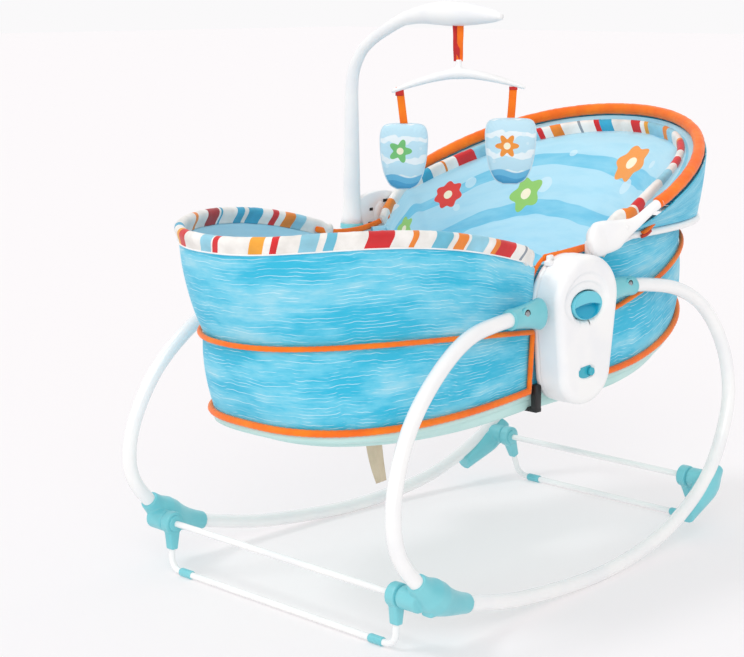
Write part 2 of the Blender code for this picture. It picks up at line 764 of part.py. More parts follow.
def housing_solid(name, side, outer_y, inner_y, grow=0.0, edge=0.0, finish=None, inside=None):
    """The housing's outline between two distances from the middle, its outer edge rounded.

    With a point inside it is a skin that is open towards the middle of the cradle.
    """
    rings = [[(x, side * inner_y, z) for x, z in housing_outline(grow)]]
    for k in range(EDGE_STEPS + 1):
        angle = math.pi / 2 * k / EDGE_STEPS
        inward = edge * (1 - math.cos(angle))
        rise = edge * (1 - math.sin(angle))
        rings.append([(x, side * (outer_y - rise), z)
                      for x, z in housing_outline(grow - inward)])
    if not edge:
        rings = [rings[0], rings[-1]]
    caps = True if inside is None else (-1,)
    return loft(name, rings, finish, caps=caps, inside=inside)


def side_axis(side):
    return (0, side, 0)


def make_housing(side):
    name = SIDE_NAMES[side]
    cover_inner = HOUSING_INNER_Y + HOUSING_BACK_THICKNESS + FIT_GAP
    cover = housing_solid(name + "_housing_cover", side, HOUSING_OUTER_Y, cover_inner,
                          edge=HOUSING_EDGE_RADIUS, finish="white_plastic",
                          inside=(0, side * cover_inner, HOUSING_MID_Z))
    thicken(cover, HOUSING_WALL)
    make_button(side, cover)
    make_switch(side, cover)
    make_back(side)


def oval_prism(name, side, x, z, width, height, outer_y, inner_y, finish=None, anchor=None):
    across = (1, 0, 0)
    up = (0, 0, 1)
    rings = [ellipse_ring((x, side * y, z), across, up, width, height, CIRCLE_SIDES)
             for y in (inner_y, outer_y)]
    return loft(name, rings, finish, anchor)


def make_button(side, cover):
    name = SIDE_NAMES[side]
    face = HOUSING_OUTER_Y
    recess = oval_prism(name + "_button_recess", side, 0.0, BUTTON_Z + RECESS_MARGIN / 2,
                        BUTTON_WIDTH + RECESS_MARGIN * 2, BUTTON_HEIGHT + RECESS_MARGIN * 2,
                        face + CUT_OVERRUN, face - RECESS_DEPTH / 2)
    combine(cover, recess, "DIFFERENCE")
    hole = oval_prism(name + "_button_hole", side, 0.0, BUTTON_Z,
                      BUTTON_WIDTH + RUNNING_GAP * 2, BUTTON_HEIGHT + RUNNING_GAP * 2,
                      face + CUT_OVERRUN, face - HOUSING_WALL - CUT_OVERRUN)
    combine(cover, hole, "DIFFERENCE")
    anchor = make_anchor(name + "_button_axis", (0, side * face, BUTTON_Z), ORIGIN)
    front = face + BUTTON_STANDOUT
    button = oval_prism(name + "_release_button", side, 0.0, BUTTON_Z, BUTTON_WIDTH,
                        BUTTON_HEIGHT, front, front - BUTTON_LENGTH, "teal_button", anchor)
    scoop = oval_prism(name + "_button_scoop", side, 0.0,
                       BUTTON_Z - BUTTON_HEIGHT * BUTTON_SCOOP_DROP_SHARE,
                       BUTTON_WIDTH * BUTTON_SCOOP_WIDTH_SHARE,
                       BUTTON_HEIGHT * BUTTON_SCOOP_HEIGHT_SHARE, front + CUT_OVERRUN,
                       front - BUTTON_SCOOP_DEPTH)
    combine(button, scoop, "DIFFERENCE")


def make_switch(side, cover):
    name = SIDE_NAMES[side]
    face = HOUSING_OUTER_Y
    well = oval_prism(name + "_switch_well", side, 0.0, SWITCH_Z, SWITCH_WIDTH, SWITCH_HEIGHT,
                      face + CUT_OVERRUN, face - HOUSING_WALL - CUT_OVERRUN)
    combine(cover, well, "DIFFERENCE")
    stud_x = SWITCH_TRAVEL / 2
    anchor = make_anchor(name + "_switch_axis", (stud_x, side * face, SWITCH_Z), ORIGIN)
    inner = face - HOUSING_WALL - FIT_GAP
    switch = oval_prism(name + "_slide_switch", side, stud_x, SWITCH_Z,
                        SWITCH_WIDTH + SWITCH_TRAVEL * 2 + CUT_OVERRUN,
                        SWITCH_HEIGHT + CUT_OVERRUN * 2, inner,
                        inner - SWITCH_PLATE_THICKNESS, "teal_button", anchor)
    stud_length = SWITCH_STANDOUT + HOUSING_WALL + FIT_GAP + SWITCH_PLATE_THICKNESS / 2
    stud = cylinder(name + "_switch_stud",
                    (stud_x, side * (face + SWITCH_STANDOUT - stud_length / 2), SWITCH_Z),
                    side_axis(side), SWITCH_STUD_RADIUS, stud_length)
    combine(switch, stud, "UNION")


def make_back(side):
    """Inner plate of a housing, with the backrest's pivot lug and the two rims' bosses."""
    name = SIDE_NAMES[side] + "_housing_back"
    outer = HOUSING_INNER_Y + HOUSING_BACK_THICKNESS
    back = housing_solid(name, side, outer, HOUSING_INNER_Y, finish="white_plastic")
    pivot = Vector((PIVOT_X, side * BACK_Y, PIVOT_Z))
    foot = Vector((PIVOT_X / 3, side * BACK_Y, HOUSING_TOP - HOUSING_TOP_RADIUS))
    across = (pivot - foot).normalized()
    up = across.cross(Vector((0, 1, 0)))
    lug_rings = []
    for y in (HOUSING_INNER_Y, outer):
        arc = [pivot + (up * math.cos(math.pi * k / ARC_STEPS)
                        + across * math.sin(math.pi * k / ARC_STEPS))
               * PIVOT_LUG_RADIUS for k in range(ARC_STEPS + 1)]
        arc.append(foot - up * PIVOT_LUG_RADIUS)
        arc.append(foot + up * PIVOT_LUG_RADIUS)
        for point in arc:
            point.y = side * y
        lug_rings.append(arc)
    combine(back, loft(name + "_lug", lug_rings), "UNION")
    pin_length = outer - BACK_Y + ARM_STANDOFF + ARM_HUB_THICKNESS / 4
    pin = cylinder(name + "_pin", (PIVOT_X, side * (BACK_Y + pin_length / 2), PIVOT_Z),
                   side_axis(side), PIVOT_PIN_RADIUS, pin_length)
    combine(back, pin, "UNION")
    for end in (FOOT, HEAD):
        reach, z = rim_boss(end)
        boss = cylinder(f"{name}_{END_NAMES[end]}_rim_boss",
                        (end * (RIM_BOSS_RADIUS + reach) / 2, side * rim_end_y(), z),
                        (end, 0, 0), RIM_BOSS_RADIUS, reach - RIM_BOSS_RADIUS,
                        sides=SMALL_SIDES)
        combine(back, boss, "UNION")
        radius = RIM_TUBE_RADIUS if end == FOOT else HEAD_RIM_RADIUS
        hole = tube_mesh(f"{name}_{END_NAMES[end]}_rim_hole", lengthen(rim_path(end), FIT_GAP),
                         radius + FIT_GAP * 2)
        combine(back, hole, "DIFFERENCE")


def rim_end_y():
    """Distance of a rim's end from the middle, clear of the cradle's waist."""
    return WAIST + SOFT_GAP + RIM_BOSS_RADIUS


def rim_boss(end):
    """How far a rim's boss reaches along X, and its height."""
    height = edge_values(end, "rim")[4]
    return HOUSING_TOP_RADIUS + RIM_BOSS_STANDOUT, height


def rim_path(end, inset=0.0):
    """Centre line of a rim from one housing round to the other."""
    reach, height = rim_boss(end)
    straight = reach + RIM_COVER_RADIUS
    points = [point for point in edge_path(end, "rim", inset, waist=False)
              if abs(point.x) > straight + RIM_BOSS_RADIUS]
    for side in (NEAR, FAR):
        run = [Vector((end * (reach - RIM_TUBE_SEAT), side * rim_end_y(), height)),
               Vector((end * (reach + SOFT_GAP), side * rim_end_y(), height)),
               Vector((end * straight, side * rim_end_y(), height))]
        points = run + points if side == NEAR else points + run[::-1]
    return points


def make_socket(side, end):
    """Flared sleeve from a housing's side to a hoop's end, with its screw."""
    name = f"{SIDE_NAMES[side]}_{END_NAMES[end]}_socket"
    front = end == FOOT
    reach = FRONT_SOCKET_REACH if front else REAR_SOCKET_REACH
    root_height = FRONT_SOCKET_ROOT_HEIGHT if front else REAR_SOCKET_ROOT_HEIGHT
    z = FRONT_SOCKET_Z if front else REAR_SOCKET_Z
    mouth = (HOOP_TUBE_RADIUS + SOCKET_MOUTH_WALL) * 2
    root_x = HOUSING_BOTTOM_RADIUS
    path = hoop_path(side)
    rings = []
    for k in range(SOCKET_STEPS + 1):
        share = k / SOCKET_STEPS
        x = root_x + (reach - root_x) * share
        flare = (1 - share) ** 2
        near_path = min(path, key=lambda point: (point - Vector((end * x, point.y, z))).length)
        height = z if x < HOUSING_TOP_RADIUS * 2 else near_path.z
        centre = (end * x, side * hoop_y(end * x, height), height)
        rings.append(ellipse_ring(centre, side_axis(1), (0, 0, 1),
                                  mouth + (SOCKET_ROOT_DEPTH - mouth) * flare,
                                  mouth + (root_height - mouth) * flare))
    socket = loft(name, rings, "teal_plastic")
    x = HOUSING_TOP_RADIUS + (reach - HOUSING_TOP_RADIUS) * SOCKET_SCREW_SHARE
    share = (x - root_x) / (reach - root_x)
    surface = (hoop_y(end * x, z)
               + (mouth + (SOCKET_ROOT_DEPTH - mouth) * (1 - share) ** 2) / 2)
    seat_y = surface - SCREW_SEAT_DEPTH
    seat = cylinder(name + "_screw_seat",
                    (end * x, side * (seat_y + CUT_OVERRUN / 2), z), side_axis(side),
                    SCREW_HEAD_RADIUS + FIT_GAP, CUT_OVERRUN, sides=SEAT_SIDES)
    combine(socket, seat, "DIFFERENCE")
    envelope = housing_solid(name + "_housing", side, HOUSING_OUTER_Y + CUT_OVERRUN,
                             HOUSING_INNER_Y - CUT_OVERRUN, grow=FIT_GAP)
    combine(socket, envelope, "DIFFERENCE")
    bore = tube_mesh(name + "_bore", lengthen(path, FIT_GAP), HOOP_TUBE_RADIUS + FIT_GAP)
    combine(socket, bore, "DIFFERENCE")
    cylinder(name + "_screw", (end * x, side * (seat_y + FIT_GAP + SCREW_HEAD_HEIGHT / 2), z),
             side_axis(side), SCREW_HEAD_RADIUS, SCREW_HEAD_HEIGHT, "steel",
             end_radius=SCREW_HEAD_RADIUS * SCREW_TAPER_SHARE, sides=SMALL_SIDES)


def make_foot(side, end):
    name = f"{SIDE_NAMES[side]}_{END_NAMES[end]}_foot"
    path = hoop_path(side)
    stations = path_slice(path, *FOOT_SHARES[end])
    middle = Vector((0, 0, HOOP_MID_HEIGHT))
    offset = FRONT_FOOT_OFFSET if end == FOOT else REAR_FOOT_OFFSET
    spine = []
    for place, _share in stations:
        outward = place - middle
        outward.y = 0
        spine.append(place + outward.normalized() * offset)
    swell = FRONT_FOOT_SWELL if end == FOOT else REAR_FOOT_SWELL
    base_radius = HOOP_TUBE_RADIUS + FOOT_SLEEVE_WALL
    shares = FOOT_RADIUS_SHARES if end == FOOT else FOOT_RADIUS_SHARES[::-1]
    radii = [base_radius + swell * share_value(shares, share) for _place, share in stations]
    foot = tube_mesh(name, spine, base_radius, "teal_plastic", radii=radii,
                     sides=SWELL_SIDES)
    boss = boss_place(side, end)
    hoop_side = abs(boss.y)
    shoulder = cylinder(name + "_shoulder",
                        (boss.x, side * (hoop_side - BOSS_SHOULDER_REACH / 2), boss.z),
                        side_axis(side), BOSS_SHOULDER_RADIUS, BOSS_SHOULDER_REACH)
    journal = cylinder(name + "_journal",
                       (boss.x, side * (hoop_side - BOSS_REACH / 2), boss.z),
                       side_axis(side), BOSS_RADIUS, BOSS_REACH)
    extras = [shoulder, journal]
    if end == FOOT:
        pad_bottom = boss.z - PAD_DROP
        over_pad = min(path, key=lambda point: abs(point.x - PAD_X)
                       + max(0.0, point.z - boss.z * 2))
        pad = block(name + "_pad", (PAD_X, over_pad.y, (over_pad.z + pad_bottom) / 2),
                    (PAD_LENGTH, PAD_WIDTH, over_pad.z - pad_bottom))
        extras.insert(0, pad)
    for extra in extras:
        combine(foot, extra, "UNION")
    bore = tube_mesh(name + "_bore", path, HOOP_TUBE_RADIUS + FIT_GAP)
    combine(foot, bore, "DIFFERENCE")
    seat = cylinder(name + "_cross_seat",
                    (boss.x, side * (hoop_side - BOSS_REACH + CROSS_TUBE_SEAT / 2), boss.z),
                    side_axis(side), CROSS_TUBE_RADIUS + FIT_GAP,
                    CROSS_TUBE_SEAT + FIT_GAP * 2, sides=SMALL_SIDES)
    combine(foot, seat, "DIFFERENCE")


def make_cross_tube(end):
    boss = boss_place(FAR, end)
    half = boss.y - BOSS_REACH + CROSS_TUBE_SEAT
    cylinder(END_NAMES[end] + "_cross_tube", (boss.x, 0, boss.z), (0, 1, 0),
             CROSS_TUBE_RADIUS, half * 2, "white_tube", sides=SMALL_SIDES)


def make_stand(end):
    """Folding stand: a clip on each boss, the bent rod between them and its two grips."""
    name = END_NAMES[end]
    boss = boss_place(FAR, end)
    anchor = make_anchor(name + "_stand_axis", (boss.x, 0, boss.z), ORIGIN)
    clip_y = boss.y - (BOSS_SHOULDER_REACH + BOSS_REACH) / 2
    lean = FRONT_STAND_LEAN if end == FOOT else REAR_STAND_LEAN
    down = Vector((end * math.sin(lean), 0, -math.cos(lean)))
    along = Vector((math.cos(lean), 0, end * math.sin(lean)))
    depth = (boss.z - GRIP_RADIUS) / math.cos(lean)
    corner = STAND_BEND_RADIUS

    def place(y, drop):
        return Vector((boss.x, y, boss.z)) + down * drop

    rod_top = CLIP_LEG_LENGTH - STAND_ROD_SEAT
    path = [place(-clip_y, rod_top)]
    for side in (NEAR, FAR):
        turn = []
        for k in range(ARC_STEPS):
            angle = math.pi / 2 * k / (ARC_STEPS - 1)
            turn.append(place(side * (clip_y - corner + corner * math.cos(angle)),
                              depth - corner + corner * math.sin(angle)))
        path += turn if side == NEAR else turn[::-1]
    path.append(place(clip_y, rod_top))
    tube(name + "_stand_rod", path, STAND_ROD_RADIUS, "white_tube", anchor)
    ring_radius = BOSS_RADIUS + RUNNING_GAP + CLIP_RING_WALL
    for side in (NEAR, FAR):
        label = f"{SIDE_NAMES[side]}_{name}"
        clip = cylinder(label + "_stand_clip", (boss.x, side * clip_y, boss.z),
                        side_axis(side), ring_radius, CLIP_WIDTH, "teal_plastic", anchor)
        leg_rings = []
        for drop, width in ((0.0, CLIP_LEG_TOP), (CLIP_LEG_LENGTH, CLIP_LEG_BOTTOM)):
            leg_rings.append([place(side * clip_y + across * CLIP_WIDTH / 2, drop)
                              + along * part * width / 2
                              for part, across in ((-1, -1), (1, -1), (1, 1), (-1, 1))])
        combine(clip, loft(label + "_clip_leg", leg_rings), "UNION")
        bore = cylinder(label + "_clip_bore", (boss.x, side * clip_y, boss.z),
                        side_axis(side), BOSS_RADIUS + RUNNING_GAP, CLIP_WIDTH + CUT_OVERRUN)
        combine(clip, bore, "DIFFERENCE")
        seat_top = rod_top - FIT_GAP
        seat_end = CLIP_LEG_LENGTH + CUT_OVERRUN
        seat = cylinder(label + "_rod_seat", place(side * clip_y, (seat_top + seat_end) / 2),
                        down, STAND_ROD_RADIUS + FIT_GAP, seat_end - seat_top,
                        sides=SMALL_SIDES)
        combine(clip, seat, "DIFFERENCE")
        grip_y = clip_y - corner - GRIP_FROM_CORNER - GRIP_LENGTH / 2
        ends = [place(side * (grip_y + part * GRIP_LENGTH / 2), depth) for part in (-1, 1)]
        sleeve(label + "_stand_grip", ends, GRIP_RADIUS, STAND_ROD_RADIUS + FIT_GAP,
               "teal_plastic", anchor, sides=SMALL_SIDES)


# Cradle

def bag_rings(end):
    """Rings of a bag's outer skin from its rim down to the tray."""
    hidden = PIPING_RADIUS + SOFT_GAP
    mid_upper = edge_path(end, "mid", hidden, PIPING_RADIUS)
    mid_lower = edge_path(end, "mid", hidden, -PIPING_RADIUS)
    base = edge_path(end, "base", hidden, SEAM_LIFT)
    base_upper = edge_path(end, "base", hidden, PIPING_RADIUS * 2)
    if end == FOOT:
        top = edge_path(end, "rim", hidden / 2, -RIM_COVER_RADIUS - SOFT_GAP * 2)
        for point in top:
            if abs(point.x) < rim_boss(end)[0] + RIM_COVER_RADIUS:
                point.z -= RIM_COVER_RADIUS / 3
    else:
        top_height = HOUSING_TOP + HEAD_TOP_ABOVE_HOUSING
        top = [Vector((point.x, point.y, top_height)) for point in mid_upper]
    rings = [top]
    rings += [blend_path(mid_upper, top, share) for share in UPPER_PANEL_SHARES]
    rings += [mid_upper, mid_lower]
    rings += [blend_path(base_upper, mid_lower, share) for share in LOWER_PANEL_SHARES]
    rings += [base_upper, base]
    return rings


def make_bag(end):
    name = "foot_bag" if end == FOOT else "head_bag"
    inside = (end * FOOT_RIM_TIP / 4, 0, HOUSING_TOP)
    bag = loft(name, bag_rings(end), "blue_fabric", closed=False, caps=False, inside=inside)
    thicken(bag, FABRIC_THICKNESS)


def make_piping(end):
    """Orange cord: round the middle, round the base, and up beside each housing."""
    name = "foot_piping" if end == FOOT else "head_piping"
    base = edge_path(end, "base", waist=False)
    middle = edge_path(end, "mid", waist=False)
    piping = tube_mesh(name, base, PIPING_RADIUS, "orange_fabric", sides=CORD_SIDES)
    combine(piping, tube_mesh(name + "_middle", middle, PIPING_RADIUS, sides=CORD_SIDES),
            "UNION")
    for side, index in ((NEAR, 0), (FAR, -1)):
        foot = base[index]
        head = middle[index]
        rise = (head - foot).normalized() * PIPING_RADIUS / 2
        upright = tube_mesh(f"{name}_{SIDE_NAMES[side]}_upright",
                            [foot - rise, (foot + head) / 2, head + rise],
                            PIPING_RADIUS, sides=CORD_SIDES)
        combine(piping, upright, "UNION")


def make_rims():
    path = rim_path(FOOT)
    tube("front_rim_tube", path, RIM_TUBE_RADIUS, "steel")
    padded = path[1:-1]
    sleeve("front_rim_cover", padded, RIM_COVER_RADIUS, RIM_TUBE_RADIUS + FIT_GAP * 3,
           "striped_fabric")
    tube("head_rim", rim_path(HEAD), HEAD_RIM_RADIUS, "white_plastic")


def tray_ring(level, inset, lift):
    """A closed outline: round the foot from near to far, then round the head back."""
    foot = edge_path(FOOT, level, inset, lift)
    head = edge_path(HEAD, level, inset, lift)
    return foot, head


def make_tray():
    """Shallow dish under the cradle: a foot half and a head half that meet at the waist."""
    hidden = PIPING_RADIUS + SOFT_GAP
    rings = []
    for level, inset, lift in (("base", hidden, -SEAM_DROP), ("tray", 0.0, TRAY_FLOOR_DROP),
                               ("tray", TRAY_FLOOR_DROP, 0.0),
                               ("tray", TRAY_FLOOR_INSET, -TRAY_FLOOR_DROP)):
        foot, head = tray_ring(level, inset, lift)
        ring = foot[1:-1] + head[1:-1][::-1]
        rings.append(ring)
    bm = bmesh.new()
    floor = skin_faces(bm, rings, True)[-1]
    half = len(floor) // 2
    foot_floor = floor[:half]
    head_floor = floor[half:][::-1]
    ladder_faces(bm, foot_floor)
    ladder_faces(bm, head_floor)
    bm.faces.new((foot_floor[0], head_floor[0], head_floor[-1], foot_floor[-1]))
    turn_outward(bm, (0, 0, HOUSING_TOP))
    thicken(mesh_object("base_tray", bm, "mint_plastic"), TRAY_WALL)


def make_mattress():
    """Crowned pad on the foot half of the tray."""
    hidden = PIPING_RADIUS + SOFT_GAP + FABRIC_THICKNESS + MATTRESS_MARGIN
    floor_lift = TRAY_WALL - TRAY_FLOOR_DROP + SOFT_GAP
    steps = U_STEPS - U_STEPS % 2 + 1

    def ring(inset, lift):
        points = [edge_point(FOOT, "tray", math.pi * k / steps, inset, lift)
                  for k in range(steps + 1)]
        for point in points:
            point.x = min(point.x, -MATTRESS_START)
        points[0].x = -MATTRESS_START
        points[-1].x = -MATTRESS_START
        return points

    rings = [ring(TRAY_FLOOR_INSET + TRAY_WALL, floor_lift)]
    for inward, up in MATTRESS_SHARES:
        rings.append(ring(hidden * inward, floor_lift + MATTRESS_HEIGHT * up))
    loft("mattress", rings, "pale_fabric", ladder=True)


def tray_underside(x):
    """Height of the tray's underside at a place on the foot half."""
    start, tip, _overhang, _squareness, height, rise, sag = edge_values(FOOT, "tray")
    travel = min(1.0, max(0.0, (abs(x) - start) / (tip - start)))
    return height + rise * travel + sag * travel ** 2 - TRAY_FLOOR_DROP


def make_brace():
    """Black cross brace on the tray's floor, with a block beside each housing."""
    base = tray_underside(BRACE_X) + TRAY_WALL + FIT_GAP
    middle = base + BRACE_THICKNESS / 2
    reach = WAIST + SOFT_GAP + BRACE_BLOCK_WIDTH
    brace = block("tray_brace", (BRACE_X, 0, middle), (BRACE_LENGTH, reach * 2, BRACE_THICKNESS),
                  "black_plastic")
    notch = block("tray_brace_notch", (BRACE_X, 0, middle),
                  (BRACE_LENGTH + FIT_GAP * 2, reach * 2, BRACE_THICKNESS + FIT_GAP * 2))
    combine(bpy.data.objects["base_tray"], notch, "DIFFERENCE")
    for side in (NEAR, FAR):
        name = SIDE_NAMES[side] + "_brace"
        end = block(name + "_block",
                    (BRACE_X, side * (reach - BRACE_BLOCK_WIDTH / 2),
                     base + BRACE_UPSTAND / 2),
                    (BRACE_LENGTH + FIT_GAP, BRACE_BLOCK_WIDTH, BRACE_UPSTAND))
        combine(brace, end, "UNION")
        envelope = housing_solid(name + "_housing", side, HOUSING_OUTER_Y,
                                 HOUSING_INNER_Y - FIT_GAP, grow=FIT_GAP)
        combine(brace, envelope, "DIFFERENCE")


def make_strap():
    z = tray_underside(STRAP_X) - SOFT_GAP - STRAP_LENGTH / 2
    block("tray_strap", (STRAP_X, STRAP_Y, z),
          (STRAP_WIDTH, STRAP_THICKNESS, STRAP_LENGTH), "beige_webbing",
          turn=BOW_TURN)


# Backrest

def back_point(travel, half, offset=0.0):
    """A point at a distance along the backrest's slope, above its pivot."""
    along = Vector((math.cos(BACK_TILT), 0, math.sin(BACK_TILT)))
    above = Vector((-math.sin(BACK_TILT), 0, math.cos(BACK_TILT)))
    place = Vector((PIVOT_X, 0, PIVOT_Z)) + along * travel + above * (BACK_TUBE_OFFSET + offset)
    place.y = half
    return place


def back_curve(angle, inset=0.0, offset=0.0):
    """A point of the bent end of the backrest tube, from the near side to the far side."""
    travel = abs(super_power(math.sin(angle), BACK_SQUARENESS))
    side = -super_power(math.cos(angle), BACK_SQUARENESS)
    return back_point(BACK_STRAIGHT + (BACK_REACH - inset - BACK_STRAIGHT) * travel,
                      (BACK_HALF - inset) * side, offset)


def back_side_half(travel):
    """Distance of a straight end of the tube from the middle."""
    return ARM_Y + (BACK_HALF - ARM_Y) * min(1.0, travel / BACK_STRAIGHT)


def back_path():
    points = [back_curve(math.pi * k / U_STEPS) for k in range(U_STEPS + 1)]
    mouth = ARM_LENGTH - ARM_TUBE_SEAT
    for side in (NEAR, FAR):
        run = [back_point(mouth, side * back_side_half(mouth))]
        points = run + points if side == NEAR else points + run
    return points


def make_arm(side, anchor):
    """Teardrop arm from its pivot hub to the tube's end."""
    name = SIDE_NAMES[side] + "_pivot_arm"
    end = back_point(ARM_LENGTH, side * back_side_half(ARM_LENGTH))
    hub = Vector((PIVOT_X, side * ARM_Y, PIVOT_Z))
    along = (end - hub).normalized()
    up = along.cross(Vector((0, 1, 0)))
    if up.z < 0:
        up = -up
    across = (0, 1, 0)
    length = (end - hub).length
    rings = []
    for share, tall, thick in ARM_SHARES:
        blend = max(0.0, share)
        height = ARM_HUB_RADIUS * 2 * tall
        thickness = (ARM_HUB_THICKNESS * (1 - blend) + ARM_END_RADIUS * 2 * blend) * thick
        centre = hub + along * length * share
        centre.y = hub.y + (end.y - hub.y) * blend
        rings.append(ellipse_ring(centre, across, up, thickness, height))
    arm = loft(name, rings, "white_plastic", anchor)
    pin_end = ARM_HUB_THICKNESS
    bore = cylinder(name + "_bore",
                    (PIVOT_X, side * (ARM_Y - pin_end / 2 + ARM_HUB_THICKNESS / 4 + FIT_GAP),
                     PIVOT_Z), side_axis(side), PIVOT_PIN_RADIUS + RUNNING_GAP, pin_end)
    combine(arm, bore, "DIFFERENCE")
    seat = tube_mesh(name + "_tube_seat", lengthen(back_path(), FIT_GAP * 2),
                     BACK_TUBE_RADIUS + FIT_GAP * 2)
    combine(arm, seat, "DIFFERENCE")


def liner_top(angle, inset=0.0, lift=0.0):
    """Top edge of the inner liner, which the striped band follows."""
    along = Vector((math.cos(LINER_TILT), 0, math.sin(LINER_TILT)))
    travel = abs(super_power(math.sin(angle), LINER_SQUARENESS))
    side = -super_power(math.cos(angle), LINER_SQUARENESS)
    start = Vector((PIVOT_X + LINER_START, 0, PIVOT_Z + LINER_LIFT))
    place = start + along * (LINER_STRAIGHT
                             + (LINER_REACH - inset - LINER_STRAIGHT) * travel)
    place.y = (LINER_HALF - inset) * side
    place.z += lift
    return place


def liner_ring(inset=0.0, lift=0.0, steps=U_STEPS):
    along = Vector((math.cos(LINER_TILT), 0, math.sin(LINER_TILT)))
    start = Vector((PIVOT_X + LINER_START, 0, PIVOT_Z + LINER_LIFT))
    points = [liner_top(math.pi * k / steps, inset, lift) for k in range(steps + 1)]
    for side in (NEAR, FAR):
        run = []
        for k in range(RUN_STEPS):
            share = k / RUN_STEPS
            place = start + along * LINER_STRAIGHT * share
            half = LINER_MOUTH_HALF + (LINER_HALF - LINER_MOUTH_HALF) * share
            run.append(Vector((place.x, side * (half - inset), place.z + lift)))
        points = run + points if side == NEAR else points + run[::-1]
    for point in points:
        low = max(0.0, 1 - (point.x - PIVOT_X) / LINER_END_RUN)
        point.z -= LINER_END_DROP * min(1.0, low) ** LINER_END_POWER
    return points


def liner_seat_point(share):
    """A point of the seat's outline at a share of the way round it."""
    angle = math.pi * share
    return Vector((PIVOT_X + LINER_SEAT_START + LINER_SEAT_REACH * math.sin(angle),
                   -LINER_SEAT_HALF * math.cos(angle), PIVOT_Z - LINER_SEAT_DROP))


def make_liner(anchor):
    """Inner trough of the backrest, from under the striped band down to the seat."""
    band = liner_ring(lift=-BAND_RADIUS - SOFT_GAP - LINER_THICKNESS)
    count = len(band)
    rings = [band]
    for share in LINER_SHARES:
        ring = []
        for k, point in enumerate(band):
            seat = liner_seat_point(k / (count - 1))
            flat = share ** LINER_SPREAD_POWER
            deep = share ** LINER_DEPTH_POWER
            sag = math.sin(math.pi * share) * math.sin(math.pi * k / (count - 1))
            ring.append(Vector((point.x + (seat.x - point.x) * flat,
                                point.y + (seat.y - point.y) * flat,
                                point.z + (seat.z - point.z) * deep - LINER_SAG * sag)))
        rings.append(ring)
    bm = bmesh.new()
    ladder_faces(bm, skin_faces(bm, rings, False)[-1])
    turn_outward(bm, (PIVOT_X + BACK_REACH / 3, 0, PIVOT_Z + BACK_REACH / 2))
    thicken(mesh_object("backrest_liner", bm, "pale_fabric", anchor), LINER_THICKNESS)


def back_angle(k, count):
    """Angle on the backrest tube beside a point of the band."""
    return math.pi * (BAND_ANGLE_SHARE + (1 - 2 * BAND_ANGLE_SHARE) * k / count)


def make_band(anchor):
    """Striped band round the headrest, with the cloth strip that hangs it from the tube."""
    path = liner_ring()[1:-1]
    band = tube_mesh("headrest_band", path, BAND_RADIUS, "striped_fabric", anchor)
    hang = -BACK_SLEEVE_RADIUS - SOFT_GAP * 2
    upper = [back_curve(back_angle(k, U_STEPS), BAND_RADIUS / 2, hang)
             for k in range(U_STEPS + 1)]
    lower = [liner_top(math.pi * k / U_STEPS) for k in range(U_STEPS + 1)]
    inside = (PIVOT_X + BACK_REACH / 3, 0, PIVOT_Z + BACK_REACH / 2)
    strip = loft("headrest_strip", [upper, lower], closed=False, caps=False, inside=inside)
    thicken(strip, HOOD_THICKNESS)
    combine(band, strip, "UNION")


def make_hood(anchor):
    """Outer back cloth from under the tube down to the head rim."""
    upper = []
    lower = []
    gap = BACK_SLEEVE_RADIUS + SOFT_GAP
    for k in range(HOOD_STEPS + 1):
        angle = back_angle(k, HOOD_STEPS)
        upper.append(back_curve(angle, -gap + HOOD_THICKNESS / 2, -gap))
        lower.append(edge_point(HEAD, "rim", angle, lift=HEAD_RIM_RADIUS + SOFT_GAP))
    middle = [blend_path(lower, upper, 1 - share) for share in HOOD_SHARES]
    hood = loft("backrest_hood", [upper] + middle + [lower], "blue_fabric", anchor,
                closed=False, caps=False, inside=(PIVOT_X + BACK_REACH / 3, 0, PIVOT_Z))
    thicken(hood, HOOD_THICKNESS)


def path_beyond(path, mouth):
    """The stretch of the tube that lies further than the arms' mouths."""
    travels = [(point - back_point(0, point.y)).length for point in path]
    kept = [point for point, travel in zip(path, travels) if travel > mouth]
    first = next(k for k, travel in enumerate(travels) if travel > mouth)
    share = (mouth - travels[first - 1]) / (travels[first] - travels[first - 1])
    start = path[first - 1].lerp(path[first], share)
    return [start] + kept + [Vector((start.x, -start.y, start.z))]


def make_backrest():
    anchor = make_anchor("backrest_axis", (PIVOT_X, 0, PIVOT_Z), ORIGIN)
    path = back_path()
    tube("backrest_tube", path, BACK_TUBE_RADIUS, "steel", anchor)
    mouth = ARM_LENGTH + SOFT_GAP + BACK_SLEEVE_RADIUS * BACK_SPREAD / BACK_STRAIGHT
    padded = path_beyond(path, mouth)
    sleeve("backrest_sleeve", padded, BACK_SLEEVE_RADIUS, BACK_TUBE_RADIUS + FIT_GAP * 2,
           "orange_fabric", anchor)
    for side in (NEAR, FAR):
        make_arm(side, anchor)
    make_liner(anchor)
    make_band(anchor)
    make_hood(anchor)


# Toy bar and mobile

def toy_bar_points():
    points = []
    radii = []
    base = TOY_SOCKET_TOP + FIT_GAP
    points.append(Vector((TOY_POST_X, TOY_POST_Y, base)))
    radii.append(TOY_POST_BASE_RADIUS)
    for out, up, thick in TOY_ARM_SHARES:
        points.append(Vector((TOY_POST_X, TOY_POST_Y - TOY_ARM_REACH * out,
                              base + TOY_POST_HEIGHT * up)))
        radii.append(TOY_POST_BASE_RADIUS * thick)
    return points, radii


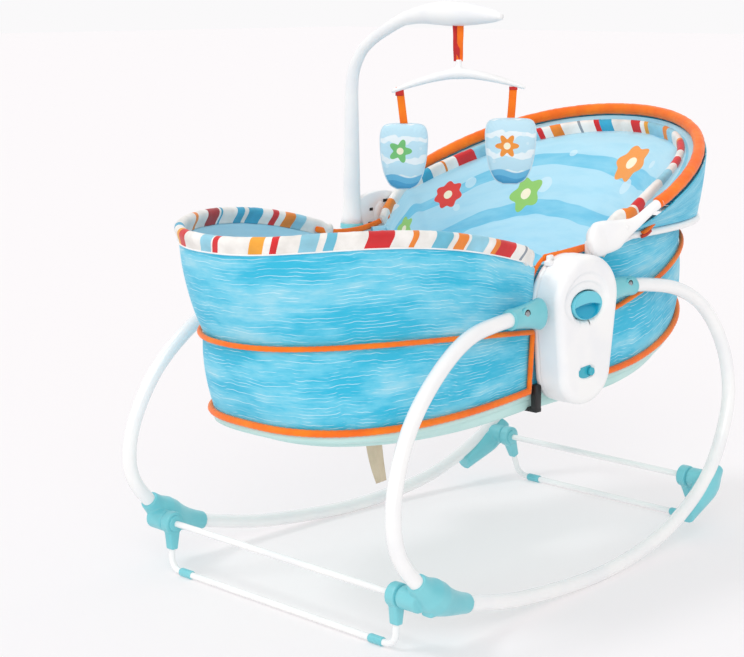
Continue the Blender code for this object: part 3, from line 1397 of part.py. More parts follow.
def make_toy_bar():
    envelope = housing_solid("toy_socket_housing", FAR, HOUSING_OUTER_Y + CUT_OVERRUN,
                             HOUSING_INNER_Y - CUT_OVERRUN, grow=FIT_GAP)
    socket_base = HOUSING_TOP - TOY_SOCKET_HEIGHT
    socket = cylinder("toy_bar_socket",
                      (TOY_POST_X, TOY_POST_Y, (TOY_SOCKET_TOP + socket_base) / 2), (0, 0, 1),
                      TOY_SOCKET_RADIUS, TOY_SOCKET_TOP - socket_base, "teal_plastic")
    combine(socket, envelope, "DIFFERENCE")
    cover = bpy.data.objects["far_housing_cover"]
    well_bottom = HOUSING_TOP - TOY_SPIGOT_DEPTH - FIT_GAP
    well = cylinder("toy_bar_well",
                    (TOY_POST_X, TOY_POST_Y, (TOY_SOCKET_TOP + CUT_OVERRUN + well_bottom) / 2),
                    (0, 0, 1), TOY_SPIGOT_RADIUS + RUNNING_GAP,
                    TOY_SOCKET_TOP + CUT_OVERRUN - well_bottom)
    combine(socket, well, "DIFFERENCE")
    combine(cover, well, "DIFFERENCE")
    anchor = make_anchor("toy_bar_axis", (TOY_POST_X, TOY_POST_Y, TOY_SOCKET_TOP), ORIGIN)
    points, radii = toy_bar_points()
    path = smooth_path(points, CURVE_STEPS)
    spread = smooth_path([(radius, 0, 0) for radius in radii], CURVE_STEPS)
    bar = tube_mesh("toy_bar", path, TOY_POST_BASE_RADIUS, "white_plastic", anchor,
                    radii=[entry.x for entry in spread], sides=SWELL_SIDES)
    spigot_top = TOY_SOCKET_TOP + TOY_POST_BASE_RADIUS
    spigot_bottom = HOUSING_TOP - TOY_SPIGOT_DEPTH
    spigot = cylinder("toy_bar_spigot",
                      (TOY_POST_X, TOY_POST_Y, (spigot_top + spigot_bottom) / 2), (0, 0, 1),
                      TOY_SPIGOT_RADIUS, spigot_top - spigot_bottom, sides=SMALL_SIDES)
    combine(bar, spigot, "UNION")
    make_mobile(anchor, path, [entry.x for entry in spread])


def make_mobile(bar_anchor, path, radii):
    hang_y = TOY_POST_Y - TOY_ARM_REACH * RIBBON_SHARE
    index = min(range(len(path) // 2, len(path)), key=lambda k: abs(path[k].y - hang_y))
    top = path[index].z - radii[index] - FIT_GAP
    spot = path[index].y
    anchor = make_anchor("mobile_axis", (TOY_POST_X, spot, top), bar_anchor)
    across = Vector((math.cos(BOW_TURN), math.sin(BOW_TURN), 0))
    normal = Vector((-across.y, across.x, 0))
    centre = Vector((TOY_POST_X, spot, 0))
    block("mobile_ribbon", centre + Vector((0, 0, top - RIBBON_LENGTH / 2)),
          (RIBBON_WIDTH, RIBBON_THICKNESS, RIBBON_LENGTH), "orange_fabric", anchor,
          turn=BOW_TURN)
    bow_z = top - RIBBON_LENGTH - FIT_GAP - BOW_HUB_RADIUS
    points = []
    spread = []
    for k in range(BOW_STEPS * 2 + 1):
        share = k / BOW_STEPS - 1
        drop, radius = bow_shape(abs(share))
        points.append(centre + across * BOW_HALF_LENGTH * share + Vector((0, 0, bow_z - drop)))
        hub = max(0.0, 1 - abs(share) / BOW_HUB_SHARE)
        spread.append(radius + (BOW_HUB_RADIUS - BOW_RADIUS) * hub)
    tube("mobile_bow", points, BOW_RADIUS, "white_plastic", anchor, radii=spread)
    for end in (FOOT, HEAD):
        make_toy(end, anchor, centre, across, normal, bow_z)


def bow_shape(share):
    """How far the bow has dropped, and its radius, at a share of its half length."""
    drop = BOW_DROP * share ** BOW_DROP_POWER
    return drop, BOW_RADIUS + (BOW_TIP_RADIUS - BOW_RADIUS) * share ** BOW_TAPER_POWER


def make_toy(end, bow_anchor, centre, across, normal, bow_z):
    label = "foot" if end == FOOT else "head"
    share = (TOY_FROM_CENTRE + TOY_STRAP_WIDTH / 2) / BOW_HALF_LENGTH
    drop, radius = bow_shape(share)
    top = bow_z - drop - radius - SOFT_GAP
    place = centre + across * TOY_FROM_CENTRE * end
    anchor = make_anchor(label + "_toy_axis", (place.x, place.y, top), bow_anchor)
    block(label + "_toy_strap", place + Vector((0, 0, top - TOY_STRAP_LENGTH / 2)),
          (TOY_STRAP_WIDTH, TOY_STRAP_THICKNESS, TOY_STRAP_LENGTH), "orange_fabric", anchor,
          turn=BOW_TURN)
    base = top - TOY_STRAP_LENGTH - FIT_GAP - TOY_HEIGHT
    half = TOY_WIDTHS[end] / 2
    outline = [(half * wide, TOY_HEIGHT * up) for wide, up in TOY_SHARES]
    outline += [(-wide, up) for wide, up in outline[::-1]]
    rings = []
    for depth, size in TOY_EDGE_SHARES:
        middle = TOY_HEIGHT / 2
        rings.append([place + across * wide * size + normal * TOY_THICKNESS * depth
                      + Vector((0, 0, base + middle + (up - middle) * size))
                      for wide, up in outline])
    loft(label + "_toy", rings, "pale_fabric", anchor)


def centre_on_origin():
    """Shift the model along X until the middle of its length is at the origin."""
    bpy.context.view_layer.update()
    depsgraph = bpy.context.evaluated_depsgraph_get()
    low = math.inf
    high = -math.inf
    for part in PARTS.objects:
        if part.type == "EMPTY":
            continue
        for corner in part.evaluated_get(depsgraph).bound_box:
            x = (part.matrix_world @ Vector(corner)).x
            low = min(low, x)
            high = max(high, x)
    ORIGIN.location.x = -(low + high) / 2


def flatten_cut_faces():
    """Keep large flat faces looking flat beside the edges that cuts leave."""
    for part in PARTS.objects:
        if any(modifier.type == "BOOLEAN" for modifier in part.modifiers):
            part.modifiers.new("normals", "WEIGHTED_NORMAL")


clear_scene()
PARTS = make_collection("rocking_bassinet")
CUTTERS = make_collection("cutters")
MATERIALS = {name: make_finish(name) for name in FINISHES}
ORIGIN = make_anchor("bassinet_origin", (0, 0, 0))
make_hoops()
for place_side in (NEAR, FAR):
    make_housing(place_side)
    for place_end in (FOOT, HEAD):
        make_socket(place_side, place_end)
        make_foot(place_side, place_end)
for place_end in (FOOT, HEAD):
    make_cross_tube(place_end)
    make_stand(place_end)
    make_bag(place_end)
    make_piping(place_end)
make_rims()
make_tray()
make_mattress()
make_brace()
make_strap()
make_backrest()
make_toy_bar()
flatten_cut_faces()
centre_on_origin()
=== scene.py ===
import math

import bmesh
import bpy
from mathutils import Matrix, Vector, noise


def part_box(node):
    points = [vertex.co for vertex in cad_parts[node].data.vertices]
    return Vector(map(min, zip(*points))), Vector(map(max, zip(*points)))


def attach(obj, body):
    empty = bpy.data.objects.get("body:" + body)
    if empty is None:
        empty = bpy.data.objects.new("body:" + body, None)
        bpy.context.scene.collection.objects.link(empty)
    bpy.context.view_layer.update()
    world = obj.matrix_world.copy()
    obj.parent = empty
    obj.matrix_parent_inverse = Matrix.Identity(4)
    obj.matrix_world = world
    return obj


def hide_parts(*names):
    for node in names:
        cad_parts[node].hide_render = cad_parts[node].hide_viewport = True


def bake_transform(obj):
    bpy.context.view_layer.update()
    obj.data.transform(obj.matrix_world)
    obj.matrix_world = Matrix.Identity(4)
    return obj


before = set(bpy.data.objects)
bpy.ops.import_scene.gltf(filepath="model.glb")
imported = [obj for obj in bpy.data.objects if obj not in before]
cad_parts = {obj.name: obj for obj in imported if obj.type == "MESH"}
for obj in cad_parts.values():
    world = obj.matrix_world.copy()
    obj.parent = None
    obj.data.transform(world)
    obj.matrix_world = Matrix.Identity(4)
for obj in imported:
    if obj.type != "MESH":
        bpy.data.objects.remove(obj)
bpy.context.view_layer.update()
print("frame loaded")

lowCover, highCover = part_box("near_housing_cover")
shift = Vector(((lowCover.x + highCover.x) / 2, 0, 0))  # the housings' middle, where every form starts
near, far = -1, 1
foot, head = -1, 1
sideName = {near: "near", far: "far"}
endName = {foot: "front", head: "rear"}
halfName = {foot: "foot", head: "head"}
sideways = Vector((0, 1, 0))
# shape helpers

def superPower(value, squareness):
    return math.copysign(abs(value) ** (2 / squareness), value)


def smoothStep(value, low, high):
    share = min(1.0, max(0.0, (value - low) / (high - low)))
    return share * share * (3 - 2 * share)


def smoothPath(points, steps):
    points = [Vector(point) for point in points]
    ends = [points[0] * 2 - points[1]] + points + [points[-1] * 2 - points[-2]]
    path = []
    for index in range(1, len(ends) - 2):
        before, here, there, after = ends[index - 1:index + 3]
        for step in range(steps):
            t = step / steps
            path.append((2 * here + (there - before) * t
                         + (2 * before - 5 * here + 4 * there - after) * t ** 2
                         + (3 * here - before - 3 * there + after) * t ** 3) / 2)
    path.append(points[-1])
    return path


def distances(points):  # how far along a route each of its points lies
    gone = [0.0]
    for before, after in zip(points, points[1:]):
        gone.append(gone[-1] + (after - before).length)
    return gone


def evenPath(points, spacing):  # the same route in equal steps
    gone = distances(points)
    count = max(2, round(gone[-1] / spacing))
    path = []
    index = 0
    for step in range(count + 1):
        wanted = gone[-1] * step / count
        while index < len(points) - 2 and gone[index + 1] < wanted:
            index += 1
        span = max(1e-9, gone[index + 1] - gone[index])
        path.append(points[index].lerp(points[index + 1], (wanted - gone[index]) / span))
    return path


def sidesJoined(middle, startOf):  # a route through both sides' starts, near side first
    return startOf(near) + middle + startOf(far)[::-1]


def flatOut(point):  # the level direction from the cradle's middle to a point
    return Vector((point.x, point.y, 0)).normalized()


def ripple(point, scale, seed=0.0):  # smooth noise from -1 to 1
    x, y, z = point
    return noise.noise(Vector((x * scale + seed, y * scale - seed, z * scale + seed * 2)))


# mesh helpers

def newPiece(name, mesh, material):
    mesh.shade_smooth()
    mesh.materials.append(material)
    made = bpy.data.objects.new(name, mesh)
    bpy.context.scene.collection.objects.link(made)
    return made


def pieceFromGrid(name, rows, material, closed=False, caps=False):
    count = len(rows[0])
    tallest = max(range(0, count, 3), key=lambda c: distances([row[c] for row in rows])[-1])
    along = distances([row[tallest] for row in rows])
    widest = max(rows, key=lambda row: distances(row)[-1])
    across = distances(widest + widest[:1])
    faces = []
    uvs = []
    for r in range(len(rows) - 1):
        for c in range(count if closed else count - 1):
            d = (c + 1) % count
            faces.append((r * count + c, r * count + d, (r + 1) * count + d, (r + 1) * count + c))
            uvs += [(across[c], along[r]), (across[c + 1], along[r]),
                    (across[c + 1], along[r + 1]), (across[c], along[r + 1])]
    if caps:
        last = (len(rows) - 1) * count
        faces.append(tuple(range(count))[::-1])
        uvs += [(across[c], along[0]) for c in range(count)][::-1]
        faces.append(tuple(last + c for c in range(count)))
        uvs += [(across[c], along[-1]) for c in range(count)]
    mesh = bpy.data.meshes.new(name)
    mesh.from_pydata([tuple(point + shift) for row in rows for point in row], [], faces)
    layer = mesh.uv_layers.new(name="UVMap")
    layer.data.foreach_set("uv", [value for uv in uvs for value in uv])
    mesh.validate()
    return newPiece(name, mesh, material)


def solidFromRings(name, rings, material):
    return pieceFromGrid(name, rings, material, closed=True, caps=True)


def ovalRing(centre, across, up, sides):  # across and up are its half axes
    turns = [math.tau * k / sides for k in range(sides)]
    return [centre + across * math.cos(turn) + up * math.sin(turn) for turn in turns]


def directionAt(path, index):
    return (path[min(index + 1, len(path) - 1)] - path[max(index - 1, 0)]).normalized()


def outwardAt(path, index):  # the level direction square to a route, away from the cradle's middle
    ahead = directionAt(path, index)
    outward = Vector((ahead.y, -ahead.x, 0)).normalized()
    return -outward if outward.dot(flatOut(path[index])) < 0 else outward


def turnFrames(path):  # a pair of directions square to the path at each point
    frames = []
    across = None
    for index in range(len(path)):
        ahead = directionAt(path, index)
        if across is None:
            across = ahead.orthogonal() if abs(ahead.z) > 0.99 else ahead.cross(Vector((0, 0, 1)))
        across = (across - ahead * across.dot(ahead)).normalized()
        frames.append((across.copy(), ahead.cross(across)))
    return frames


def sweep(name, path, radius, material, sides=24, caps=True):
    # radius is a number or radius(distance along, angle round, share along)
    gone = distances(path)
    rows = []
    for point, (across, up), distance in zip(path, turnFrames(path), gone):
        row = []
        for k in range(sides):
            angle = math.tau * k / sides
            size = radius(distance, angle, distance / gone[-1]) if callable(radius) else radius
            row.append(point + (across * math.cos(angle) + up * math.sin(angle)) * size)
        rows.append(row)
    return pieceFromGrid(name, rows, material, closed=True, caps=caps)


def casing(name, path, shape, material, wobble):  # a flat cloth casing; shape: (outward, up) points
    rows = []
    for index, (point, gone) in enumerate(zip(path, distances(path))):
        outward = outwardAt(path, index)
        up = outward.cross(directionAt(path, index))
        if up.z < 0:
            up = -up
        row = []
        for k, (out, rise) in enumerate(shape):
            extra = wobble(gone, k / len(shape), index / (len(path) - 1))
            row.append(point + (outward * out + up * rise) * extra)
        rows.append(row)
    return solidFromRings(name, rows, material)


def joinPieces(name, pieces):
    bpy.ops.object.select_all(action="DESELECT")
    for piece in pieces:
        piece.select_set(True)
    bpy.context.view_layer.objects.active = pieces[0]
    bpy.ops.object.join()
    pieces[0].name = name
    return pieces[0]


def applyModifiers(piece):
    bpy.context.view_layer.update()
    graph = bpy.context.evaluated_depsgraph_get()
    mesh = bpy.data.meshes.new_from_object(piece.evaluated_get(graph))
    piece.modifiers.clear()
    old = piece.data
    piece.data = mesh
    bpy.data.meshes.remove(old)
    return piece


def addModifier(piece, kind, **values):
    modifier = piece.modifiers.new(kind.lower(), kind)
    for key, value in values.items():
        setattr(modifier, key, value)
    return piece


def thicken(piece, thickness, offset=0.0):
    addModifier(piece, "SOLIDIFY", thickness=thickness, offset=offset)
    return applyModifiers(piece)


def fuse(name, pieces, voxel, rounds, material):  # one moulding with soft corners where its parts meet
    made = joinPieces(name, pieces)
    addModifier(made, "REMESH", mode="VOXEL", voxel_size=voxel, use_smooth_shade=True)
    addModifier(made, "SMOOTH", factor=0.5, iterations=rounds)
    applyModifiers(made)
    made.data.materials.clear()
    made.data.materials.append(material)
    made.data.shade_smooth()
    return made


def settle(piece, body, slot, *nodes):  # place a finished piece on its body
    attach(piece, body)
    if nodes:
        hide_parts(*nodes)
    return piece


def lathe(name, profile, centre, axis, material, sides=32):  # profile: (distance along axis, radius)
    axis = Vector(axis).normalized()
    across = axis.orthogonal().normalized()
    up = axis.cross(across)
    rings = [ovalRing(Vector(centre) + axis * along, across * radius, up * radius, sides)
             for along, radius in profile]
    return solidFromRings(name, rings, material)


def boxPiece(name, centre, size, material, turn=0.0, bevel=0.001):
    bm = bmesh.new()
    matrix = (Matrix.Translation(Vector(centre) + shift) @ Matrix.Rotation(turn, 4, "Z")
              @ Matrix.Diagonal((*size, 1)))
    bmesh.ops.create_cube(bm, size=1, matrix=matrix)
    bmesh.ops.bevel(bm, geom=bm.edges[:], offset=bevel, segments=3, affect="EDGES", profile=0.5)
    mesh = bpy.data.meshes.new(name)
    bm.to_mesh(mesh)
    bm.free()
    return newPiece(name, mesh, material)


# material helpers

class NodeBuilder:
    def __init__(self, name):
        self.material = bpy.data.materials.new(name)
        self.material.use_nodes = True
        self.tree = self.material.node_tree
        self.shader = self.tree.nodes["Principled BSDF"]

    def add(self, kind, inputs=None, **settings):
        made = self.tree.nodes.new(kind)
        for key, value in settings.items():
            setattr(made, key, value)
        for key, value in (inputs or {}).items():
            self.put(made.inputs[key], value)
        return made

    def put(self, socket, value):
        if isinstance(value, bpy.types.NodeSocket):
            self.tree.links.new(value, socket)
        else:
            socket.default_value = value

    def sum(self, kind, *values):
        return self.add("ShaderNodeMath", dict(enumerate(values)), operation=kind).outputs[0]

    def plus(self, first, second):
        return self.sum("ADD", first, second)

    def minus(self, first, second):
        return self.sum("SUBTRACT", first, second)

    def times(self, first, second):
        return self.sum("MULTIPLY", first, second)

    def over(self, first, second):
        return self.sum("DIVIDE", first, second)

    def mix(self, factor, first, second, blend="MIX"):
        made = self.add("ShaderNodeMix", data_type="RGBA", blend_type=blend)
        for index, value in ((0, factor), (6, first), (7, second)):
            self.put(made.inputs[index], value)
        return made.outputs[2]

    def noiseAt(self, place, scale, detail=2.0, rough=0.5):
        made = self.add("ShaderNodeTexNoise", {"Vector": place, "Scale": scale, "Detail": detail,
                                               "Roughness": rough})
        return made.outputs["Fac"]

    def stretchedNoise(self, place, across, along, detail, rough=0.5):
        stretched = self.add("ShaderNodeMapping", {"Vector": place, "Scale": (across, along, 1.0)})
        return self.noiseAt(stretched.outputs[0], 1.0, detail, rough)

    def bands(self, factor, stops):
        made = self.add("ShaderNodeValToRGB", {"Fac": factor})
        ramp = made.color_ramp
        ramp.interpolation = "CONSTANT"
        while len(ramp.elements) < len(stops):
            ramp.elements.new(0.5)
        for element, (place, colour) in zip(ramp.elements, stops):
            element.position = place
            element.color = colour
        return made.outputs[0]

    def step(self, value, low, high):  # 0 below low, 1 above high
        made = self.add("ShaderNodeMapRange", {"Value": value, "From Min": low, "From Max": high,
                                               "To Min": 0.0, "To Max": 1.0},
                        interpolation_type="SMOOTHSTEP")
        return made.outputs[0]

    def bump(self, height, distance, strength, after=None):
        made = self.add("ShaderNodeBump", {"Height": height, "Distance": distance, "Strength": strength})
        if after is not None:
            self.put(made.inputs["Normal"], after)
        return made.outputs[0]

    def place(self):
        return self.add("ShaderNodeTexCoord").outputs["Object"]

    def cloth(self):  # a place in the cloth's own metres: across, along and both together
        uv = self.add("ShaderNodeUVMap", uv_map="UVMap").outputs["UV"]
        split = self.add("ShaderNodeSeparateXYZ", {"Vector": uv})
        return split.outputs["X"], split.outputs["Y"], uv

    def setShader(self, **values):
        names = {"colour": "Base Color", "rough": "Roughness", "metal": "Metallic", "normal": "Normal",
                 "sheen": "Sheen Weight", "sheenRough": "Sheen Roughness", "coat": "Coat Weight",
                 "coatRough": "Coat Roughness", "specular": "Specular IOR Level",
                 "glow": "Emission Color", "glowStrength": "Emission Strength"}
        for key, value in values.items():
            self.put(self.shader.inputs[names[key]], value)
        return self.material


def rgb(red, green, blue):  # from display values, 0 to 255
    def linear(value):
        value /= 255
        return value / 12.92 if value <= 0.04045 else ((value + 0.055) / 1.055) ** 2.4
    return (linear(red), linear(green), linear(blue), 1.0)


def plasticShader(make, colour, rough, coat):  # a fine moulded grain under a thin gloss
    grain = make.bump(make.noiseAt(make.place(), 900.0, 2.0), 0.00012, 0.35)
    return make.setShader(colour=colour, rough=rough, normal=grain, coat=coat, coatRough=0.12)


def mouldedPlastic(name, colour, shade, rough, coat=0.0):
    make = NodeBuilder(name)
    broad = make.noiseAt(make.place(), 14.0, 3.0)
    tint = make.mix(make.step(broad, 0.35, 0.7), colour, shade)
    return plasticShader(make, tint, make.sum("MULTIPLY_ADD", broad, 0.10, rough - 0.05), coat)


white = mouldedPlastic("whitePlastic", rgb(247, 247, 246), rgb(240, 241, 243), 0.36)
enamel = mouldedPlastic("whiteEnamel", rgb(247, 247, 246), rgb(241, 242, 243), 0.22, 0.35)
teal = mouldedPlastic("tealPlastic", rgb(126, 205, 214), rgb(110, 196, 207), 0.34, 0.1)
deepTeal = mouldedPlastic("deepTealPlastic", rgb(52, 176, 196), rgb(44, 164, 186), 0.34, 0.1)
mint = mouldedPlastic("mintPlastic", rgb(198, 232, 228), rgb(188, 226, 222), 0.42)
black = mouldedPlastic("blackPlastic", rgb(28, 28, 30), rgb(22, 22, 24), 0.45)


def screwSteel():
    make = NodeBuilder("screwSteel")
    grain = make.noiseAt(make.place(), 600.0, 3.0)
    return make.setShader(colour=make.mix(grain, rgb(136, 140, 146), rgb(186, 190, 194)),
                          rough=make.sum("MULTIPLY_ADD", grain, 0.25, 0.22), metal=1.0,
                          normal=make.bump(grain, 0.0001, 0.3))


steel = screwSteel()


def knobPlasticPaintedHighlight(light, deep, centreX, centreZ, width, height):  # a painted highlight: the brow and rim painted pale over a deeper coloured scoop
    make = NodeBuilder("knobPlasticPaintedHighlight")
    split = make.add("ShaderNodeSeparateXYZ", {"Vector": make.place()})
    across = make.over(make.minus(split.outputs["X"], centreX), width)
    up = make.minus(split.outputs["Z"], centreZ)
    squared = make.times(across, across)
    line = make.times(squared, height * -knobForm["browBend"])
    over = make.minus(up, make.plus(line, height * knobForm["browRise"]))
    tall = make.over(make.sum("ABSOLUTE", up), height)
    edge = make.step(make.plus(squared, make.times(tall, tall)), 0.80, 0.90)
    # the pale brow and rim are a painted highlight on the raised lip
    pale = make.sum("MAXIMUM", make.step(over, -0.0006, 0.0006), edge)
    return plasticShader(make, make.mix(pale, deep, light), 0.34, 0.1)


def weaveBump(make):
    place = make.place()
    threads = [make.add("ShaderNodeTexWave", {"Vector": place, "Scale": 320.0, "Distortion": 1.2,
                                              "Detail": 1.0}, bands_direction=way).outputs["Fac"]
               for way in ("Z", "DIAGONAL")]
    crumple = make.bump(make.noiseAt(place, 38.0, 4.0, 0.55), 0.0022, 0.28)
    return make.bump(make.plus(*threads), 0.00018, 0.30, crumple)


def clothShader(make, colour, rough=0.84, sheen=0.2):
    return make.setShader(colour=colour, rough=rough, normal=weaveBump(make), sheen=sheen, sheenRough=0.5)


def plainCloth(name, light, dark):
    make = NodeBuilder(name)
    tone = make.step(make.noiseAt(make.place(), 22.0, 4.0, 0.6), 0.30, 0.72)
    return clothShader(make, make.mix(tone, dark, light), 0.86, 0.25)


waveCloth = {
    "base": rgb(104, 205, 233), "deep": rgb(46, 187, 222), "pale": rgb(156, 218, 236),
    "streak": rgb(214, 241, 250), "spacing": 0.0052, "bend": 0.040, "shiver": 0.006,
    # noises: scale along and across the cloth, detail, roughness
    "broad": (6.0, 22.0, 5.0, 0.62), "bends": (7.0, 3.0, 2.5), "shivers": (42.0, 16.0, 2.0),
    "breaks": (11.0, 170.0, 3.0, 0.6),
    # where each blend begins and ends, and how strong the pale patches and the streaks are
    "deepToBase": (0.40, 0.56), "baseToPale": (0.52, 0.68), "paleShare": 0.9, "thin": (0.03, 0.17),
    "whole": (0.44, 0.62), "streakShare": 0.62,
}


def wavyBlueCloth(name):  # sky blue print with long thin white waves, drawn in the cloth's own metres
    make = NodeBuilder(name)
    u, v, uv = make.cloth()
    broad = make.stretchedNoise(uv, *waveCloth["broad"])
    tone = make.mix(make.step(broad, *waveCloth["deepToBase"]), waveCloth["deep"], waveCloth["base"])
    patches = make.times(make.step(broad, *waveCloth["baseToPale"]), waveCloth["paleShare"])
    tone = make.mix(patches, tone, waveCloth["pale"])
    height = make.plus(v, make.times(make.stretchedNoise(uv, *waveCloth["bends"]), waveCloth["bend"]))
    shivers = make.stretchedNoise(uv, *waveCloth["shivers"])
    height = make.plus(height, make.times(shivers, waveCloth["shiver"]))
    phase = make.sum("FRACT", make.over(height, waveCloth["spacing"]))
    line = make.sum("ABSOLUTE", make.minus(phase, 0.5))
    thin = make.minus(1.0, make.step(line, *waveCloth["thin"]))
    broken = make.step(make.stretchedNoise(uv, *waveCloth["breaks"]), *waveCloth["whole"])
    streak = make.times(make.times(thin, broken), waveCloth["streakShare"])
    return clothShader(make, make.mix(streak, tone, waveCloth["streak"]))


liningCloth = {
    "base": rgb(182, 227, 244), "band": rgb(140, 211, 236), "deep": rgb(116, 200, 230),
    "wave": 0.105, "bubble": rgb(222, 242, 250),
    # motifs and bubbles: place across and along the cloth, size, petals, petal depth, colour
    "motifs": (
        (0.240, 0.100, 0.040, 5, 0.30, rgb(232, 66, 60)),
        (0.470, 0.075, 0.042, 6, 0.22, rgb(246, 158, 74)),
        (0.700, 0.140, 0.040, 5, 0.30, rgb(150, 206, 110)),
        (0.900, 0.085, 0.040, 7, 0.20, rgb(232, 66, 60)),
        (1.060, 0.110, 0.036, 6, 0.26, rgb(160, 210, 120)),
    ),
    "bubbles": ((0.40, 0.060, 0.009), (0.44, 0.120, 0.016), (0.62, 0.060, 0.008), (0.66, 0.125, 0.017),
                (0.84, 0.075, 0.014), (0.88, 0.130, 0.010), (0.20, 0.110, 0.012)),
}


def awayFrom(make, u, v, centreU, centreV):
    du = make.minus(u, centreU)
    dv = make.minus(v, centreV)
    return du, dv, make.sum("SQRT", make.plus(make.times(du, du), make.times(dv, dv)))


def drawMotif(make, colour, u, v, motif):  # a flower with a pale middle
    centreU, centreV, size, petals, depth, paint = motif
    du, dv, away = awayFrom(make, u, v, centreU, centreV)
    wave = make.sum("COSINE", make.times(make.sum("ARCTAN2", dv, du), petals))
    edge = make.sum("MULTIPLY_ADD", wave, size * depth * 0.5, size * (1 - depth * 0.5))
    colour = make.mix(make.step(make.minus(edge, away), 0.0, 0.0007), colour, paint)
    middle = make.step(make.minus(size * 0.30, away), 0.0, 0.0006)
    return make.mix(middle, colour, rgb(253, 244, 214))


def drawBubble(make, colour, u, v, bubble):
    centreU, centreV, size = bubble
    away = awayFrom(make, u, v, centreU, centreV)[2]
    inside = make.step(make.minus(size, away), 0.0, 0.0006)
    return make.mix(make.times(inside, 0.55), colour, liningCloth["bubble"])


def wavyLining(name, drawings=True):
    make = NodeBuilder(name)
    u, v, uv = make.cloth()
    swell = make.times(make.sum("SINE", make.times(u, 11.0)), 0.012)
    wander = make.times(make.noiseAt(uv, 5.0, 2.0), 0.050)
    height = make.plus(make.plus(v, swell), wander)
    phase = make.sum("FRACT", make.over(height, liningCloth["wave"]))
    ridge = make.sum("ABSOLUTE", make.minus(phase, 0.5))
    washed = make.stretchedNoise(uv, 8.0, 40.0, 4.0, 0.6)
    tint = make.times(make.step(washed, 0.40, 0.70), 0.35)
    colour = make.mix(tint, liningCloth["base"], liningCloth["band"])
    band = make.mix(make.step(washed, 0.35, 0.65), liningCloth["band"], liningCloth["deep"])
    colour = make.mix(make.step(ridge, 0.345, 0.365), colour, band)
    if drawings:
        for bubble in liningCloth["bubbles"]:
            colour = drawBubble(make, colour, u, v, bubble)
        for motif in liningCloth["motifs"]:
            colour = drawMotif(make, colour, u, v, motif)
    return clothShader(make, colour)


stripeColours = {
    "w": rgb(250, 248, 244), "r": rgb(222, 38, 44), "o": rgb(247, 140, 46), "a": rgb(248, 172, 58),
    "b": rgb(152, 214, 236), "c": rgb(56, 176, 214), "m": rgb(112, 198, 226), "g": rgb(150, 160, 170),
    "d": rgb(176, 30, 40),
}


def stripeStarts(stripes):  # each stripe's start in metres along the roll, and its colour
    starts = []
    millimetres = 0
    for stripe in stripes.split():
        starts.append((millimetres / 1000, stripeColours[stripe[0]]))
        millimetres += int(stripe[1:] or 0)
    return starts


def stripedCloth(name, stripes):
    make = NodeBuilder(name)
    u, v, uv = make.cloth()
    starts = stripeStarts(stripes)
    total = starts[-1][0] + 0.2
    wander = make.times(make.minus(make.noiseAt(uv, 30.0, 1.0), 0.5), 0.003)
    lean = make.times(make.minus(u, 0.0125), 0.27)
    share = make.over(make.plus(make.plus(v, lean), wander), total)
    colour = None
    for first in range(0, len(starts), 30):  # a colour ramp holds about 30 stops
        group = [(start / total, paint) for start, paint in starts[first:first + 30]]
        band = make.bands(share, group)
        colour = make.mix(make.sum("GREATER_THAN", share, group[0][0]), colour, band) if first else band
    soil = make.step(make.noiseAt(make.place(), 30.0, 3.0), 0.2, 0.8)
    shade = make.mix(soil, rgb(228, 226, 224), rgb(255, 255, 255))
    return clothShader(make, make.mix(1.0, colour, shade, "MULTIPLY"), 0.85, 0.25)


orangeCloth = plainCloth("orangeCloth", rgb(255, 128, 4), rgb(246, 104, 2))
redStitch = plainCloth("redStitch", rgb(204, 62, 34), rgb(184, 48, 28))
# dark red: the toy loops' colour, and on the mobile ribbon's back strand the painted shade of the orange
# ribbon
redLoopAndRibbonShade = plainCloth("redLoopAndRibbonShade", rgb(214, 44, 40), rgb(188, 34, 34))
whiteHem = plainCloth("whiteHem", rgb(250, 250, 250), rgb(236, 238, 240))
paleHem = plainCloth("paleHem", rgb(222, 238, 244), rgb(196, 220, 232))
beigeWebbing = plainCloth("beigeWebbing", rgb(226, 206, 180), rgb(208, 188, 160))
blueWaves = wavyBlueCloth("blueWaves")
paleLining = wavyLining("paleLining")
plainLining = wavyLining("plainLining", drawings=False)
# a colour letter and a width in millimetres for each stripe; the last one runs on to the roll's end
footRollCloth = stripedCloth(  # from the near housing round the foot to the far one
    "footRollCloth",
    "w16 g2 w10 g2 w22 r33 o13 w14 b36 w6 o18 w8 m34 w29 o11 w26 r40 w46 m14 w11 b25 w30 r9 w12 a20 w23 b3 "
    "w24 r10 w4 b20 w40 r21 a10 w22 c20 w88 o9 w35 d35 w5 c5 w38 c21 w8 c34 w29 r13 w14 o28 b22 w5 g3 w")
headRollCloth = stripedCloth(
    "headRollCloth",
    "w2 c20 w62 o20 w8 r20 w60 b40 w28 r30 w30 r55 o11 w37 b29 o15 b44 a12 w8 r24 w40 c24 r12 w28 g4 w28 o24 "
    "w12 r12 b28 w56 b44 r40 w28 o4 w32 c28 w96 o24 w")


toyCloth = {
    "water": rgb(196, 230, 244), "foam": rgb(238, 247, 251), "ripples": 210.0, "drift": 26.0, "driftBy": 9.0,
    "foamFrom": (0.55, 0.75), "hemWaves": 120.0, "hemBend": 0.003,
    # each band of the hem: where it begins to end, where it has ended, colour
    "hem": ((0.020, 0.022, rgb(112, 190, 226)), (0.011, 0.012, rgb(86, 170, 214))),
    # place across and along the cloth, and size
    "flower": (-0.006, 0.060, 0.019), "petalDepth": 0.42,
    "bubbles": ((0.020, 0.078, 0.0040), (0.026, 0.064, 0.0026), (-0.026, 0.036, 0.0030)),
}


